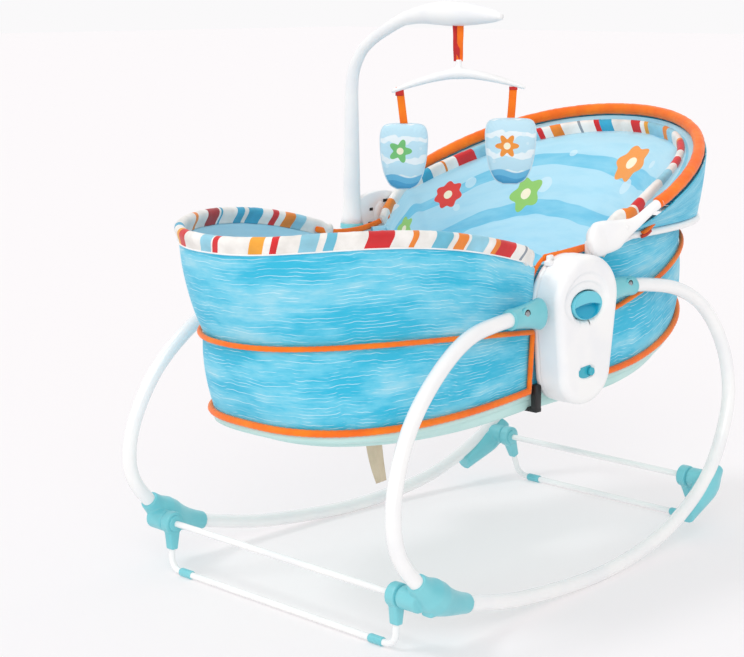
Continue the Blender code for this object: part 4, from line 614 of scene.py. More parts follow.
def toyPrint(name, paint, petals):  # pale watery print with a deeper hem and a plain flower
    make = NodeBuilder(name)
    u, v, uv = make.cloth()
    drift = make.times(make.noiseAt(uv, toyCloth["drift"], 2.0), toyCloth["driftBy"])
    ripples = make.sum("SINE", make.plus(make.times(v, toyCloth["ripples"]), drift))
    colour = make.mix(make.step(ripples, *toyCloth["foamFrom"]), toyCloth["water"], toyCloth["foam"])
    wave = make.sum("SINE", make.sum("MULTIPLY_ADD", u, toyCloth["hemWaves"], 0.5))
    low = make.plus(v, make.times(wave, toyCloth["hemBend"]))
    for start, end, shade in toyCloth["hem"]:
        colour = make.mix(make.step(low, start, end), shade, colour)
    colour = drawMotif(make, colour, u, v, toyCloth["flower"] + (petals, toyCloth["petalDepth"], paint))
    for bubble in toyCloth["bubbles"]:
        colour = drawBubble(make, colour, u, v, bubble)
    return clothShader(make, colour)


toyPrints = {foot: toyPrint("footToyPrint", rgb(120, 196, 120), 5),
             head: toyPrint("headToyPrint", rgb(244, 150, 60), 6)}
print("materials made")


# rocker hoops

hoopForm = {
    "length": 0.90, "height": 0.434, "spacing": 0.50, "tube": 0.0111, "toe": 0.059, "splay": 0.084,
    # outline from the front socket round the floor to the rear socket, as shares
    "outline": (
        (-0.23, 0.974), (-0.43, 0.970), (-0.60, 0.942), (-0.76, 0.850), (-0.90, 0.710), (-0.985, 0.530),
        (-0.995, 0.370), (-0.93, 0.250), (-0.80, 0.143), (-0.60, 0.080), (-0.35, 0.030), (0.05, 0.0),
        (0.40, 0.030), (0.64, 0.105), (0.82, 0.215), (0.94, 0.375), (0.98, 0.520), (0.94, 0.690),
        (0.82, 0.845), (0.65, 0.938), (0.43, 0.985), (0.23, 1.0),
    ),
}
hoopHalf = hoopForm["length"] / 2
hoopMiddle = hoopForm["tube"] + hoopForm["height"] / 2


def hoopY(x, z):
    return hoopForm["spacing"] / 2 - hoopForm["toe"] * x + hoopForm["splay"] * (hoopMiddle - z)


def hoopPath(side, steps=2):
    points = []
    for along, up in hoopForm["outline"]:
        x = hoopHalf * along
        z = hoopForm["tube"] + hoopForm["height"] * up
        points.append((x, side * hoopY(x, z), z))
    return smoothPath(points, steps)


for side in (near, far):
    path = evenPath(hoopPath(side, 10), 0.008)
    hoop = sweep(sideName[side] + "HoopTube", path, hoopForm["tube"], enamel, 28)
    settle(hoop, "rocker", "white_tube", sideName[side] + "_hoop")
print("hoops made")


# side housings

housingForm = {
    "rise": 0.068, "drop": 0.156, "topRadius": 0.063, "lowRadius": 0.051, "depth": 0.056, "edge": 0.013,
    "back": 0.0125, "gap": 0.0003, "faceReach": 0.0495, "faceStep": 0.0008,
    "widen": 1.18, "toFoot": 0.003, "brow": 0.0022,
    "buttonX": -0.0075, "buttonBelowTop": 0.072, "buttonWidth": 0.068, "buttonHeight": 0.044,
    "switchX": -0.004, "switchBelowTop": 0.173, "switchWidth": 0.032, "switchHeight": 0.018,
    "switchTravel": 0.012, "lugX": 0.070, "lugRise": 0.018,
}
frontReach, rearReach = 0.158, 0.152
socketZ = {end: hoopForm["tube"] + hoopForm["height"] * hoopForm["outline"][index][1]
           for end, index in ((foot, 0), (head, -1))}
housingY = (hoopY(-frontReach, socketZ[foot]) + hoopY(rearReach, socketZ[head])) / 2
outerY = housingY + housingForm["depth"] / 2
innerY = housingY - housingForm["depth"] / 2
housingMid = (socketZ[foot] + socketZ[head]) / 2
housingTop = housingMid + housingForm["rise"]
housingBase = housingMid - housingForm["drop"]
waist = innerY - 0.0040
buttonX = housingForm["buttonX"]
buttonZ = housingTop - housingForm["buttonBelowTop"]
switchZ = housingTop - housingForm["switchBelowTop"]


def housingOutline(grow, count=64):
    top = Vector((0, housingTop - housingForm["topRadius"]))
    low = Vector((0, housingBase + housingForm["lowRadius"]))
    lean = math.asin((housingForm["topRadius"] - housingForm["lowRadius"]) / (top - low).length)
    points = []
    for centre, radius, start, end in (
            (top, housingForm["topRadius"] + grow, -lean, math.pi + lean),
            (low, housingForm["lowRadius"] + grow, math.pi + lean, math.tau - lean)):
        for k in range(count + 1):
            angle = start + (end - start) * k / count
            points.append(centre + Vector((math.cos(angle), math.sin(angle))) * radius)
    filled = []
    for point, after in zip(points, points[1:] + points[:1]):  # straight flanks get points of their own
        extra = int((after - point).length / 0.004)
        filled += [point] + [point.lerp(after, (k + 1) / (extra + 1)) for k in range(extra)]
    return filled


def ovalAway(x, z, centreX, centreZ, width, height):  # about the distance outside an oval
    reach = math.hypot((x - centreX) / (width / 2), (z - centreZ) / (height / 2))
    return (reach - 1) * min(width, height) / 2


# ovals set back in the face: middle, width, height, depth, and their wall's start and end outside the oval
coverDips = {
    "pocket": (buttonX, buttonZ + 0.004, housingForm["buttonWidth"] + 0.016,
               housingForm["buttonHeight"] + 0.020, 0.0026, -0.0022, 0.0012),
    "well": ((buttonX + 0.003) / housingForm["widen"], buttonZ - 0.0006,
             (housingForm["buttonWidth"] + 0.0040) / housingForm["widen"],
             housingForm["buttonHeight"] + 0.0016, 0.0125, -0.0008, 0.0010),
    "arch": (buttonX * 0.9, buttonZ + 0.002, housingForm["buttonWidth"] + 0.024,
             housingForm["buttonHeight"] + 0.050, 0.0030, -0.0040, 0.0016),
    "slot": (housingForm["switchX"], switchZ, housingForm["switchWidth"], housingForm["switchHeight"],
             0.0050, -0.0004, 0.0010),
}


def coverDip(x, z):  # how far the face is set back at a place
    dip = 0.0
    for name, (*oval, depth, start, end) in coverDips.items():
        away = ovalAway(x, z, *oval)
        fade = smoothStep(z, buttonZ - 0.016, buttonZ + 0.018) if name == "arch" else 1.0
        dip += depth * (1 - smoothStep(away, start, end)) * fade
    slotRim = abs(away - 0.0022)  # a fine raised line round the switch's slot, the last of the ovals
    return dip - 0.0006 * (1 - smoothStep(slotRim, 0.0, 0.0016))


def housingRow(side, grow, y, dipShare=0.0):
    return [Vector((p.x, side * (y - (coverDip(p.x, p.y) * dipShare if dipShare else 0)), p.y))
            for p in housingOutline(grow)]


def widened(rows):  # the photographed housing is wider than its solid, with a higher brow
    for row in rows:
        for point in row:
            point.x = point.x * housingForm["widen"] - housingForm["toFoot"]
            point.z += housingForm["brow"] * smoothStep(point.z, housingMid, housingTop)
    return rows


def makeCover(side):
    inner = innerY + housingForm["back"] + housingForm["gap"]
    edge = housingForm["edge"]
    rows = [housingRow(side, 0.0, inner + (outerY - edge - inner) * share) for share in (0.0, 0.5, 1.0)]
    for k in range(1, 13):
        angle = math.pi / 2 * k / 12
        rows.append(housingRow(side, -edge * (1 - math.cos(angle)), outerY - edge * (1 - math.sin(angle)),
                               smoothStep(k, 6, 12)))
    inset = edge
    while inset < housingForm["faceReach"]:
        inset += housingForm["faceStep"]
        rows.append(housingRow(side, -min(inset, housingForm["faceReach"]), outerY, 1.0))
    rows.append([Vector((0, point.y, point.z)) for point in rows[-1]])  # the rings close on a middle line
    cover = pieceFromGrid(sideName[side] + "Cover", widened(rows), white, closed=True)
    settle(cover, "rocker", "white_plastic", sideName[side] + "_housing_cover")


knobForm = {
    "wider": 0.0010, "lower": 0.0006, "back": 0.0002, "sides": 144, "rings": 56,
    # size as a share and how far back, from the skirt to the face
    "edge": ((1.0, 0.012), (1.0, 0.0026), (0.990, 0.0012), (0.965, 0.0004), (0.93, 0.0)),
    "browRise": 0.16, "browBend": 0.30, "shallow": 0.0015, "deeper": 0.0075, "crown": 0.0010,
}
# the knob's pale brow and rim are a painted highlight
knobSkin = knobPlasticPaintedHighlight(rgb(104, 202, 220), rgb(6, 164, 198), shift.x + buttonX, buttonZ,
                       housingForm["buttonWidth"] / 2, housingForm["buttonHeight"] / 2)


def faceRing(side, x, y, z, width, height, sides):  # an oval that lies along the housing's face
    return ovalRing(Vector((x, side * y, z)), Vector((width, 0, 0)), Vector((0, 0, height)), sides)


def makeKnob(side):  # a finger scoop under a curved brow
    width = housingForm["buttonWidth"] / 2 + knobForm["wider"]
    height = housingForm["buttonHeight"] / 2 - knobForm["lower"]
    front = outerY - knobForm["back"]
    face = knobForm["edge"][-1][0]
    rings = [faceRing(side, buttonX, front - back, buttonZ, width * share, height * share, knobForm["sides"])
             for share, back in knobForm["edge"]]
    for k in range(1, knobForm["rings"]):
        share = face * (1 - k / knobForm["rings"])
        ring = faceRing(side, buttonX, front, buttonZ, width * share, height * share, knobForm["sides"])
        for point in ring:
            x, z = point.x - buttonX, point.z - buttonZ
            line = height * (knobForm["browRise"] - knobForm["browBend"] * (x / width) ** 2)
            brow = smoothStep(z, line - 0.0012, line + 0.0004)
            away = ovalAway(x, z, 0, -height * 0.06, width * 1.86, height * 1.70)
            scoop = 1 - smoothStep(away, -0.0020, 0.0002)
            slope = min(1.0, max(0.0, (z + height * 0.86) / (height * 0.80)))
            deep = (knobForm["shallow"] + knobForm["deeper"] * slope) * scoop * (1 - brow)
            point.y = side * (front - deep - knobForm["crown"] * (x / width) ** 2)
        rings.append(ring)
    knob = solidFromRings(sideName[side] + "Knob", rings, knobSkin)
    settle(knob, sideName[side] + "_button", "teal_button", sideName[side] + "_release_button")


sliderForm = {"width": 0.030, "height": 0.013, "sunk": 0.0028,
              # size as a share and how far back
              "plate": ((1.0, 0.0016), (1.0, 0.0002), (0.97, 0.0), (0.5, 0.0), (0.30, 0.0)),
              # distance out and radius of the stud's dished cap
              "stud": ((0.0, 0.0062), (0.0040, 0.0062), (0.0050, 0.0059), (0.0056, 0.0052), (0.0054, 0.0038),
                       (0.0048, 0.0030), (0.0048, 0.0010))}


def makeSlider(side):
    name = sideName[side] + "Slider"
    x = housingForm["switchTravel"] / 2 + housingForm["switchX"]
    face = outerY - sliderForm["sunk"]
    width, height = sliderForm["width"], sliderForm["height"]
    rings = [faceRing(side, x, face - back, switchZ, width * share, height * share, 48)
             for share, back in sliderForm["plate"]]
    plate = solidFromRings(name, rings, deepTeal)
    stud = lathe(name, sliderForm["stud"], (x, side * face, switchZ), sideways * side, deepTeal)
    settle(joinPieces(name, [plate, stud]), sideName[side] + "_switch", "teal_button",
           sideName[side] + "_slide_switch")


shellForm = {
    # outset from the housing's outline, and distance out from the inner face or from the seam
    "inner": ((-0.012, 0.0), (-0.0030, 0.0004), (-0.0012, 0.0020)),
    "seam": ((-0.0012, 0.0006), (-0.010, 0.0008)),
    # distance out and radius
    "lug": ((0.0, 0.0145), (0.0010, 0.0160), (0.0120, 0.0160), (0.0130, 0.0145)), "lugOut": 0.0005,
    "neck": (0.024, 0.012, 0.044), "neckBack": 0.008, "neckOut": 0.0070, "neckDrop": 0.008,
}


def makeBack(side):  # the housing's inner shell and the lug that carries the backrest arm
    name = sideName[side] + "HousingBack"
    seam = innerY + housingForm["back"]
    rows = [housingRow(side, grow, innerY + out) for grow, out in shellForm["inner"]]
    rows += [housingRow(side, grow, seam + out) for grow, out in shellForm["seam"]]
    shell = solidFromRings(name, widened(rows), white)
    lugAt = (housingForm["lugX"], side * (innerY + shellForm["lugOut"]), housingTop + housingForm["lugRise"])
    lug = lathe(name, shellForm["lug"], lugAt, sideways * side, white, 40)
    neckAt = (housingForm["lugX"] - shellForm["neckBack"], side * (innerY + shellForm["neckOut"]),
              housingTop - shellForm["neckDrop"])
    neck = boxPiece(name, neckAt, shellForm["neck"], white, bevel=0.003)
    settle(joinPieces(name, [shell, lug, neck]), "rocker", "white_plastic", sideName[side] + "_housing_back")


for side in (near, far):
    makeCover(side)
    makeKnob(side)
    makeSlider(side)
    makeBack(side)
print("housings made")


# sockets and their screws

socketForm = {
    "wall": 0.0038, "rootDepth": 0.033, "lip": 0.0010, "sides": 40, "steps": 26, "screwRadius": 0.0050,
    foot: {"root": 0.049, "start": 0.096, "reach": frontReach + 0.014, "sink": 0.0015, "screw": 0.145,
           "lift": 0.006},
    head: {"root": 0.046, "start": 0.060, "reach": rearReach, "sink": 0.0045, "screw": 0.128, "lift": 0.0035},
}
# each turned part's slot, material, setting back, sides, and profile: distance out, share of the radius
screwParts = {
    "Screw": ("steel", steel, 0.0018, 24,
              ((-0.002, 1.0), (0.0006, 1.0), (0.0012, 0.9), (0.0016, 0.6), (0.0013, 0.2))),
    # a black disc round each screw head: painted shade of the recess round it
    "ScrewPaintedShade": ("steel", black, 0.0022, 32, ((-0.004, 1.38), (0.0010, 1.38), (0.0012, 1.30))),
    "ScrewRing": ("teal_plastic", teal, 0.0022, 32,
                  ((-0.004, 1.85), (0.0010, 1.85), (0.0018, 1.70), (0.0018, 1.50), (0.0008, 1.36))),
}


def makeSocket(side, end):
    name = sideName[side] + endName[end].capitalize() + "Socket"
    node = sideName[side] + "_" + endName[end] + "_socket"
    form = socketForm[end]
    z = socketZ[end]
    mouth = (hoopForm["tube"] + socketForm["wall"]) * 2
    upper = [point for point in hoopPath(side, 12) if point.z >= hoopMiddle]
    rings = []
    for k in range(socketForm["steps"] + 1):
        share = k / socketForm["steps"]
        x = form["start"] + (form["reach"] - form["start"]) * share
        flare = (1 - share) ** 2
        closest = min(upper, key=lambda point: abs(point.x - end * x))
        height = z + (closest.z - z) * smoothStep(x, 0.110, 0.140)
        grow = socketForm["lip"] if share > 0.93 else 0.0
        if k in (0, socketForm["steps"]):  # both ends are rounded off
            grow -= 0.0016 if k else 0.0030
        wide = mouth + (socketForm["rootDepth"] - mouth) * flare + grow
        tall = mouth + (form["root"] - mouth) * flare + grow
        centre = Vector((end * x, side * hoopY(end * x, height), height - form["sink"] * flare))
        rings.append(ovalRing(centre, sideways * wide / 2, Vector((0, 0, tall / 2)), socketForm["sides"]))
    settle(solidFromRings(name, rings, teal), "rocker", "teal_plastic", node)
    x = end * form["screw"]
    flare = (1 - (form["screw"] - form["start"]) / (form["reach"] - form["start"])) ** 2
    surface = hoopY(x, z) + (mouth + (socketForm["rootDepth"] - mouth) * flare) / 2
    for part, (slot, material, back, sides, profile) in screwParts.items():
        piece = lathe(name + part, [(out, socketForm["screwRadius"] * size) for out, size in profile],
                      (x, side * (surface - back), z + form["lift"]), sideways * side, material, sides)
        settle(piece, "rocker", slot, *([node + "_screw"] if part == "Screw" else []))


for side in (near, far):
    for end in (foot, head):
        makeSocket(side, end)
print("sockets made")


# feet on the hoops

footForm = {
    foot: {"from": 0.288, "to": 0.349, "swell": 0.0105, "offset": -0.0004, "boss": -0.89, "drop": 0.014,
           "inward": 0.0},
    head: {"from": 0.646, "to": 0.7035, "swell": 0.0070, "offset": 0.0210, "boss": 0.81, "drop": 0.018,
           "inward": 0.005},
    "swellShares": (0.0, 0.36, 0.94, 1.0, 0.66, 0.36, 0.14, 0.0), "sleeve": 0.0035,
    "bossReach": 0.056, "shoulderReach": 0.0335, "shoulderRadius": 0.0165, "bossRadius": 0.0130,
    "padX": -0.370, "padLength": 0.042, "padWidth": 0.020, "padDrop": 0.025,
}


def hoopPointAt(side, share):
    lower = [point for point in hoopPath(side) if point.z < hoopMiddle]
    return min(lower, key=lambda point: abs(point.x - hoopHalf * share))


def bossPlace(side, end):
    share = footForm[end]["boss"]
    point = hoopPointAt(side, share)
    return Vector((hoopHalf * share, point.y, point.z - footForm[end]["drop"]))


def shareValue(values, share):
    place = share * (len(values) - 1)
    index = min(int(place), len(values) - 2)
    return values[index] + (values[index + 1] - values[index]) * (place - index)


def makeFoot(side, end):
    name = sideName[side] + endName[end].capitalize() + "Shoe"
    form = footForm[end]
    path = evenPath(hoopPath(side, 10), 0.003)
    spine = []
    for point in path[int(form["from"] * (len(path) - 1)):int(form["to"] * (len(path) - 1)) + 1]:
        outward = Vector((point.x, 0, point.z - hoopMiddle)).normalized()
        spine.append(point + outward * form["offset"] - sideways * side * form["inward"])
    shares = footForm["swellShares"][::-end]  # the head feet swell the other way round
    base = hoopForm["tube"] + footForm["sleeve"]
    parts = [sweep(name, spine, lambda gone, angle, share: base + form["swell"] * shareValue(shares, share),
                   teal, 32)]
    boss = bossPlace(side, end)
    for kind in ("shoulder", "boss"):
        radius, length = footForm[kind + "Radius"], footForm[kind + "Reach"]
        parts.append(lathe(name, ((0, radius - 0.001), (0.001, radius), (length, radius)),
                           (boss.x, boss.y - side * length, boss.z), sideways * side, teal))
    if end == foot:
        bottom = boss.z - footForm["padDrop"]
        low = [point for point in path if point.z <= 0.13]
        over = min(low, key=lambda point: abs(point.x - footForm["padX"]))
        parts.append(boxPiece(name, (footForm["padX"], over.y, (over.z + bottom) / 2),
                              (footForm["padLength"], footForm["padWidth"], over.z - bottom), teal,
                              bevel=0.004))
    settle(fuse(name, parts, 0.0016, 5, teal), "rocker", "teal_plastic",
           sideName[side] + "_" + endName[end] + "_foot")


for side in (near, far):
    for end in (foot, head):
        makeFoot(side, end)
print("feet made")


# cross tubes and folding stands

standForm = {
    "crossRadius": 0.0050, "crossSeat": 0.020, "clipWidth": 0.0160, "clipWall": 0.0049, "legLength": 0.042,
    "legTop": 0.030, "legBottom": 0.0140, "rodRadius": 0.0050, "rodSeat": 0.016, "bend": 0.018,
    "lean": {foot: math.radians(2), head: math.radians(22)}, "gripRadius": 0.0068, "gripLength": 0.026,
    "gripFromCorner": 0.005, "gripRound": 0.0005, "gripRibs": 5, "ribDepth": 0.0003,
}


def gripRadius(gone, angle, share):
    rounding = 1 - smoothStep(min(share, 1 - share), 0.0, 0.08)
    rib = 0.5 + 0.5 * math.cos(share * math.tau * standForm["gripRibs"])
    return standForm["gripRadius"] - standForm["gripRound"] * rounding - standForm["ribDepth"] * rib


def makeStand(end):
    name = endName[end]
    body = name + "_stand"
    boss = bossPlace(far, end)
    half = boss.y - footForm["bossReach"] + standForm["crossSeat"]
    ends = [Vector((boss.x, side * half, boss.z)) for side in (near, far)]
    bar = sweep(name + "CrossBar", evenPath(ends, 0.02), standForm["crossRadius"], enamel, 20)
    settle(bar, "rocker", "white_tube", name + "_cross_tube")
    clipY = boss.y - (footForm["shoulderReach"] + footForm["bossReach"]) / 2
    lean = standForm["lean"][end]
    down = Vector((end * math.sin(lean), 0, -math.cos(lean)))
    along = Vector((math.cos(lean), 0, end * math.sin(lean)))
    depth = (boss.z - standForm["gripRadius"]) / math.cos(lean)
    corner = standForm["bend"]

    def place(y, drop):
        return Vector((boss.x, y, boss.z)) + down * drop

    def rodHalf(side):
        route = [place(side * clipY, standForm["legLength"] - standForm["rodSeat"])]
        for turn in [math.pi / 2 * k / 12 for k in range(13)]:
            route.append(place(side * (clipY - corner + corner * math.cos(turn)),
                               depth - corner + corner * math.sin(turn)))
        return route

    route = evenPath(sidesJoined([], rodHalf), 0.006)
    rod = sweep(name + "StandRod", route, standForm["rodRadius"], enamel, 20)
    settle(rod, body, "white_tube", name + "_stand_rod")
    for side in (near, far):
        node = sideName[side] + "_" + body + "_"
        piece = sideName[side] + name.capitalize()
        width = standForm["clipWidth"]
        ring = footForm["bossRadius"] + standForm["clipWall"]
        profile = ((0, ring - 0.001), (0.001, ring), (width - 0.001, ring), (width, ring - 0.001))
        middle = (boss.x, side * clipY - width / 2, boss.z)
        collar = lathe(piece + "Clip", profile, middle, sideways, teal, 48)
        rows = []
        for k in range(9):
            share = k / 8
            wide = (standForm["legTop"] + (standForm["legBottom"] - standForm["legTop"]) * share ** 0.8) / 2
            centre = place(side * clipY, standForm["legLength"] * share)
            turns = [math.tau * j / 28 for j in range(28)]
            rows.append([centre + sideways * width / 2 * superPower(math.sin(turn), 4)
                         + along * wide * superPower(math.cos(turn), 4) for turn in turns])
        leg = solidFromRings(piece + "Clip", rows, teal)
        settle(fuse(piece + "Clip", [collar, leg], 0.0013, 3, teal), body, "teal_plastic", node + "clip")
        gripY = side * (clipY - corner - standForm["gripFromCorner"] - standForm["gripLength"] / 2)
        ends = [place(gripY + standForm["gripLength"] / 2 * way, depth) for way in (-1, 1)]
        grip = sweep(piece + "Grip", evenPath(ends, 0.0013), gripRadius, teal, 24)
        settle(grip, body, "teal_plastic", node + "grip")


for end in (foot, head):
    makeStand(end)
print("stands made")


# cradle outlines, shared by the bags, pipings, rims, tray and mattress

cradleForms = {  # start, tip, overhang, squareness, height, rise, sag
    foot: {
        "rim": (0.079, 0.535, 0.016, 2.35, housingTop + 0.003, 0.145, -0.099),
        "mid": (0.074, 0.494, 0.008, 2.25, housingBase + 0.114, 0.040, -0.026),
        "base": (0.072, 0.456, 0.001, 2.75, housingBase + 0.020, -0.038, 0.022),
        "tray": (0.064, 0.421, -0.008, 2.5, housingBase - 0.008, -0.026, 0.015),
    },
    head: {
        "rim": (0.100, 0.494, 0.007, 3.0, housingTop + 0.010, 0.0, 0.0),
        "mid": (0.078, 0.464, 0.005, 2.75, housingBase + 0.112, 0.074, 0.034),
        "base": (0.098, 0.474, -0.001, 2.5, housingBase + 0.019, 0.0, 0.083),
        "tray": (0.090, 0.440, -0.010, 2.5, housingBase - 0.008, 0.0, 0.080),
    },
}
pipingRadius = 0.0039
rimCoverRadius = 0.0122
seamInset = pipingRadius + 0.0008


def edgePoint(end, level, angle, inset=0.0, lift=0.0, short=0.0):  # angle from 0, near side, to pi, far side
    start, tip, overhang, squareness, height, rise, sag = cradleForms[end][level]
    travel = abs(superPower(math.sin(angle), squareness))
    side = -superPower(math.cos(angle), squareness)
    x = start + (tip - inset - short - start) * travel
    return Vector((end * x, (waist + overhang - inset) * side,
                   height + rise * travel + sag * travel ** 2 + lift))


def evenAngles(pointAt, count):  # angles that space an outline's points evenly
    fine = [math.pi * k / 4000 for k in range(4001)]
    gone = distances([pointAt(angle) for angle in fine])
    angles = [0.0]
    index = 0
    for step in range(1, count + 1):
        while index < 3999 and gone[index + 1] < gone[-1] * step / count:
            index += 1
        angles.append(fine[index + 1] if step == count else fine[index])
    return angles


cradleAngles = {end: evenAngles(lambda angle: edgePoint(end, "mid", angle), 130) for end in (foot, head)}


def edgePath(end, level, inset=0.0, lift=0.0, withWaist=True, short=0.0):
    points = [edgePoint(end, level, angle, inset, lift, short) for angle in cradleAngles[end]]

    def waistRun(side):  # straight along the waist, from the cradle's middle to the outline's start
        start = points[0 if side == near else -1]
        half = min(waist - inset, abs(start.y))
        return [Vector((end * (0.0003 + 0.0627 * k / 6), side * half, start.z)) for k in range(7)]

    return sidesJoined(points, waistRun) if withWaist else points


def blendRow(lower, upper, share, bulge=0.006):
    row = []
    for low, high in zip(lower, upper):
        point = low.lerp(high, share)
        outward = flatOut(point)
        full = bulge * (1 - (2 * share - 1) ** 2)
        full *= min(1.0, max(0.0, (abs(point.x) - 0.100) / 0.063))
        row.append(point + outward * full * min(1.0, (high - low).length / 0.080) ** 2)
    return row


# bags: an outer skin of wavy blue cloth and an inner lining

bagForm = {"thickness": 0.003, "rowsUpper": 30, "rowsLower": 24, "pucker": 0.0011, "puckerPitch": 0.017,
           "fold": 0.0034}


def bagPucker(point, share, seed):  # small gathers at the seams and soft folds between them
    seam = min(share, 1 - share)
    gather = math.exp(-seam / 0.10) * smoothStep(seam, 0.0, 0.03)
    walk = math.atan2(point.y, point.x) * 0.45
    pitch = math.tau / bagForm["puckerPitch"]
    wave = math.sin(walk * pitch + 3 * ripple(point, 9, seed)) * (0.6 + 0.4 * ripple(point, 14, seed))
    fold = ripple((point.x, point.y, point.z * 0.45 + point.x * 0.5), 11, seed + 4)
    full = smoothStep(seam, 0.0, 0.25) * smoothStep(abs(point.x), 0.07, 0.16)
    return bagForm["pucker"] * gather * wave + bagForm["fold"] * 0.5 * fold * full


def bagRows(end):
    middleUpper = edgePath(end, "mid", seamInset, pipingRadius * 0.4)
    middleLower = edgePath(end, "mid", seamInset, -pipingRadius * 0.4)
    base = edgePath(end, "base", seamInset, 0.0014)
    if end == foot:
        top = edgePath(end, "rim", seamInset / 2, -rimCoverRadius + 0.0004, short=0.0074)
        for point in top:
            if abs(point.x) < 0.0932:
                point.z -= 0.0041
    else:
        top = [Vector((point.x, point.y, housingTop + 0.0028)) for point in middleUpper]
    rows = [base]
    for lower, upper, count, seed in ((base, middleLower, bagForm["rowsLower"], 1.0),
                                      (middleUpper, top, bagForm["rowsUpper"], 2.0)):
        for k in range(count + 1):
            blended = blendRow(lower, upper, k / count)
            rows.append([point + flatOut(point) * bagPucker(point, k / count, seed) for point in blended])
    return rows


def makeBag(end):
    name = halfName[end] + "Bag"
    rows = bagRows(end)
    outer = pieceFromGrid(name, rows, blueWaves)
    inner = [[point - flatOut(point) * bagForm["thickness"] for point in row] for row in rows]
    inner[0] = [point + Vector((0, 0, 0.001)) for point in inner[0]]
    lining = pieceFromGrid(name + "Lining", (inner + [rows[-1]])[::-1], paleLining)
    for piece in (outer, lining):
        settle(piece, "rocker", "blue_fabric", halfName[end] + "_bag")


pipingForm = {"fuller": 1.32, "pitch": 620, "lift": 0.0030, "edgeRadius": 0.0030, "edgeGap": 0.0052}


def pipingRoutes(end):  # round the base, round the middle and up both ends
    base = [point + Vector((0, 0, pipingForm["lift"])) for point in edgePath(end, "base", withWaist=False)]
    middle = edgePath(end, "mid", withWaist=False)
    ends = [[base[index], base[index].lerp(middle[index], 0.5), middle[index]] for index in (0, -1)]
    return [base, middle] + ends


def housingRoute(side):  # along the housing's edge from the rim down to the middle seam
    route = []
    for k in range(25):
        angle = math.radians(126 + 62 * k / 24)
        radius = housingForm["topRadius"] + pipingForm["edgeGap"] + 0.010 * max(0.0, -math.cos(angle))
        route.append(Vector((radius * math.cos(angle), side * (innerY - 0.0030),
                             housingTop - housingForm["topRadius"] + radius * math.sin(angle))))
    return route + [Vector((-0.0760, side * (innerY - 0.0040), housingBase + 0.116))]


def makePiping(end):
    name = halfName[end] + "Piping"
    cords = []
    for k, route in enumerate(pipingRoutes(end)):
        full = pipingRadius * (pipingForm["fuller"] if k == 0 else 1.0)
        cords.append(sweep(name, evenPath(route, 0.0035),
                           lambda gone, angle, share: full * (1 + 0.05 * math.sin(gone * pipingForm["pitch"]))
                           + 0.00025 * ripple((gone, angle * 0.01, k), 60), orangeCloth, 14))
    if end == foot:
        for side in (near, far):
            cords.append(sweep(name, evenPath(housingRoute(side), 0.0035),
                               lambda gone, angle, share: pipingForm["edgeRadius"]
                               + 0.0002 * math.sin(gone * pipingForm["pitch"]), orangeCloth, 12))
    settle(joinPieces(name, cords), "rocker", "orange_fabric", halfName[end] + "_piping")


for end in (foot, head):
    makeBag(end)
for end in (foot, head):
    makePiping(end)
print("bags made")


# rims

rimForm = {"tube": 0.0040, "head": 0.0058, "endY": waist + 0.0086, "reach": 0.081, "seat": 0.018,
           "hem": 0.0011, "hemOut": 0.0032, "hemDrop": 0.0124}


def rimPath(end, inset=0.0, short=0.0):
    straight = rimForm["reach"] + rimCoverRadius
    points = [edgePoint(end, "rim", angle, inset, 0.0, short)
              for angle in evenAngles(lambda a: edgePoint(end, "rim", a, inset), 90)]
    return sidesJoined(
        [point for point in points if abs(point.x) > straight + 0.0078],
        lambda side: [Vector((end * x, side * rimForm["endY"], cradleForms[end]["rim"][4]))
                      for x in (rimForm["reach"] - rimForm["seat"], rimForm["reach"] + 0.0008, straight)])


def casingShape(thick, top, bottom):  # from the lower seam up the outer face, over the tube and down inside
    tall = top - thick - bottom

    def face(seam, share):  # half thickness and height of a face that narrows to its seam
        return seam + (thick - seam) * smoothStep(share, 0.0, 1.0), bottom + tall * share

    turns = [math.pi * k / 16 for k in range(1, 16)]
    over = [(thick * math.cos(turn), top - thick + thick * math.sin(turn)) for turn in turns]
    inner = [face(0.0024, 1 - k / 8) for k in range(1, 9)]
    return ([(0.0012, bottom), (0.0030, bottom + 0.0004)] + [face(0.0030, k / 8) for k in range(1, 9)]
            + over + [(-out, rise) for out, rise in inner])


def casingWobble(seed, low=0.93):  # small creases where the cloth is pulled round
    def wobble(gone, around, share):
        crease = ripple((gone * 3.0, around * 0.10, seed), 46, seed)
        soft = ripple((gone, around * 0.05, seed), 22, seed + 3)
        seam = math.exp(-(min(around, 1 - around) / 0.05) ** 2)
        tuck = smoothStep(min(share, 1 - share), 0.0, 0.010)
        return low + (1 - low) * tuck + 0.045 * crease * (1 - seam) + 0.035 * soft
    return wobble


def makeFootRim():
    route = rimPath(foot, 0.0030, 0.0086)
    tube = sweep("footRimTube", evenPath(smoothPath(route[2:-2], 3), 0.006), rimForm["tube"], steel, 16)
    settle(tube, "rocker", "steel", "front_rim_tube")
    path = evenPath(smoothPath(route[1:-1], 3), 0.0035)
    roll = casing("footRimCasing", path, casingShape(0.0074, 0.0120, -0.0128), footRollCloth,
                  casingWobble(5.0, 1.0))
    settle(roll, "rocker", "striped_fabric", "front_rim_cover")
    seam = [point + outwardAt(path, index) * rimForm["hemOut"] - Vector((0, 0, rimForm["hemDrop"]))
            for index, point in enumerate(path)]
    settle(sweep("footRimHem", seam, rimForm["hem"], whiteHem, 10), "rocker", "striped_fabric")


def makeHeadRim():  # the white rim dives under the cloth before the arm
    dive = ((0.098, 0.1850, -0.020), (0.122, 0.1940, -0.008), (0.146, 0.2030, 0.003))
    path = sidesJoined([point for point in rimPath(head) if point.x > 0.165],
                       lambda side: [Vector((x, side * y, housingTop + z)) for x, y, z in dive])
    rim = sweep("headRim", evenPath(smoothPath(path, 3), 0.006), rimForm["head"], white, 24)
    settle(rim, "rocker", "white_plastic", "head_rim")


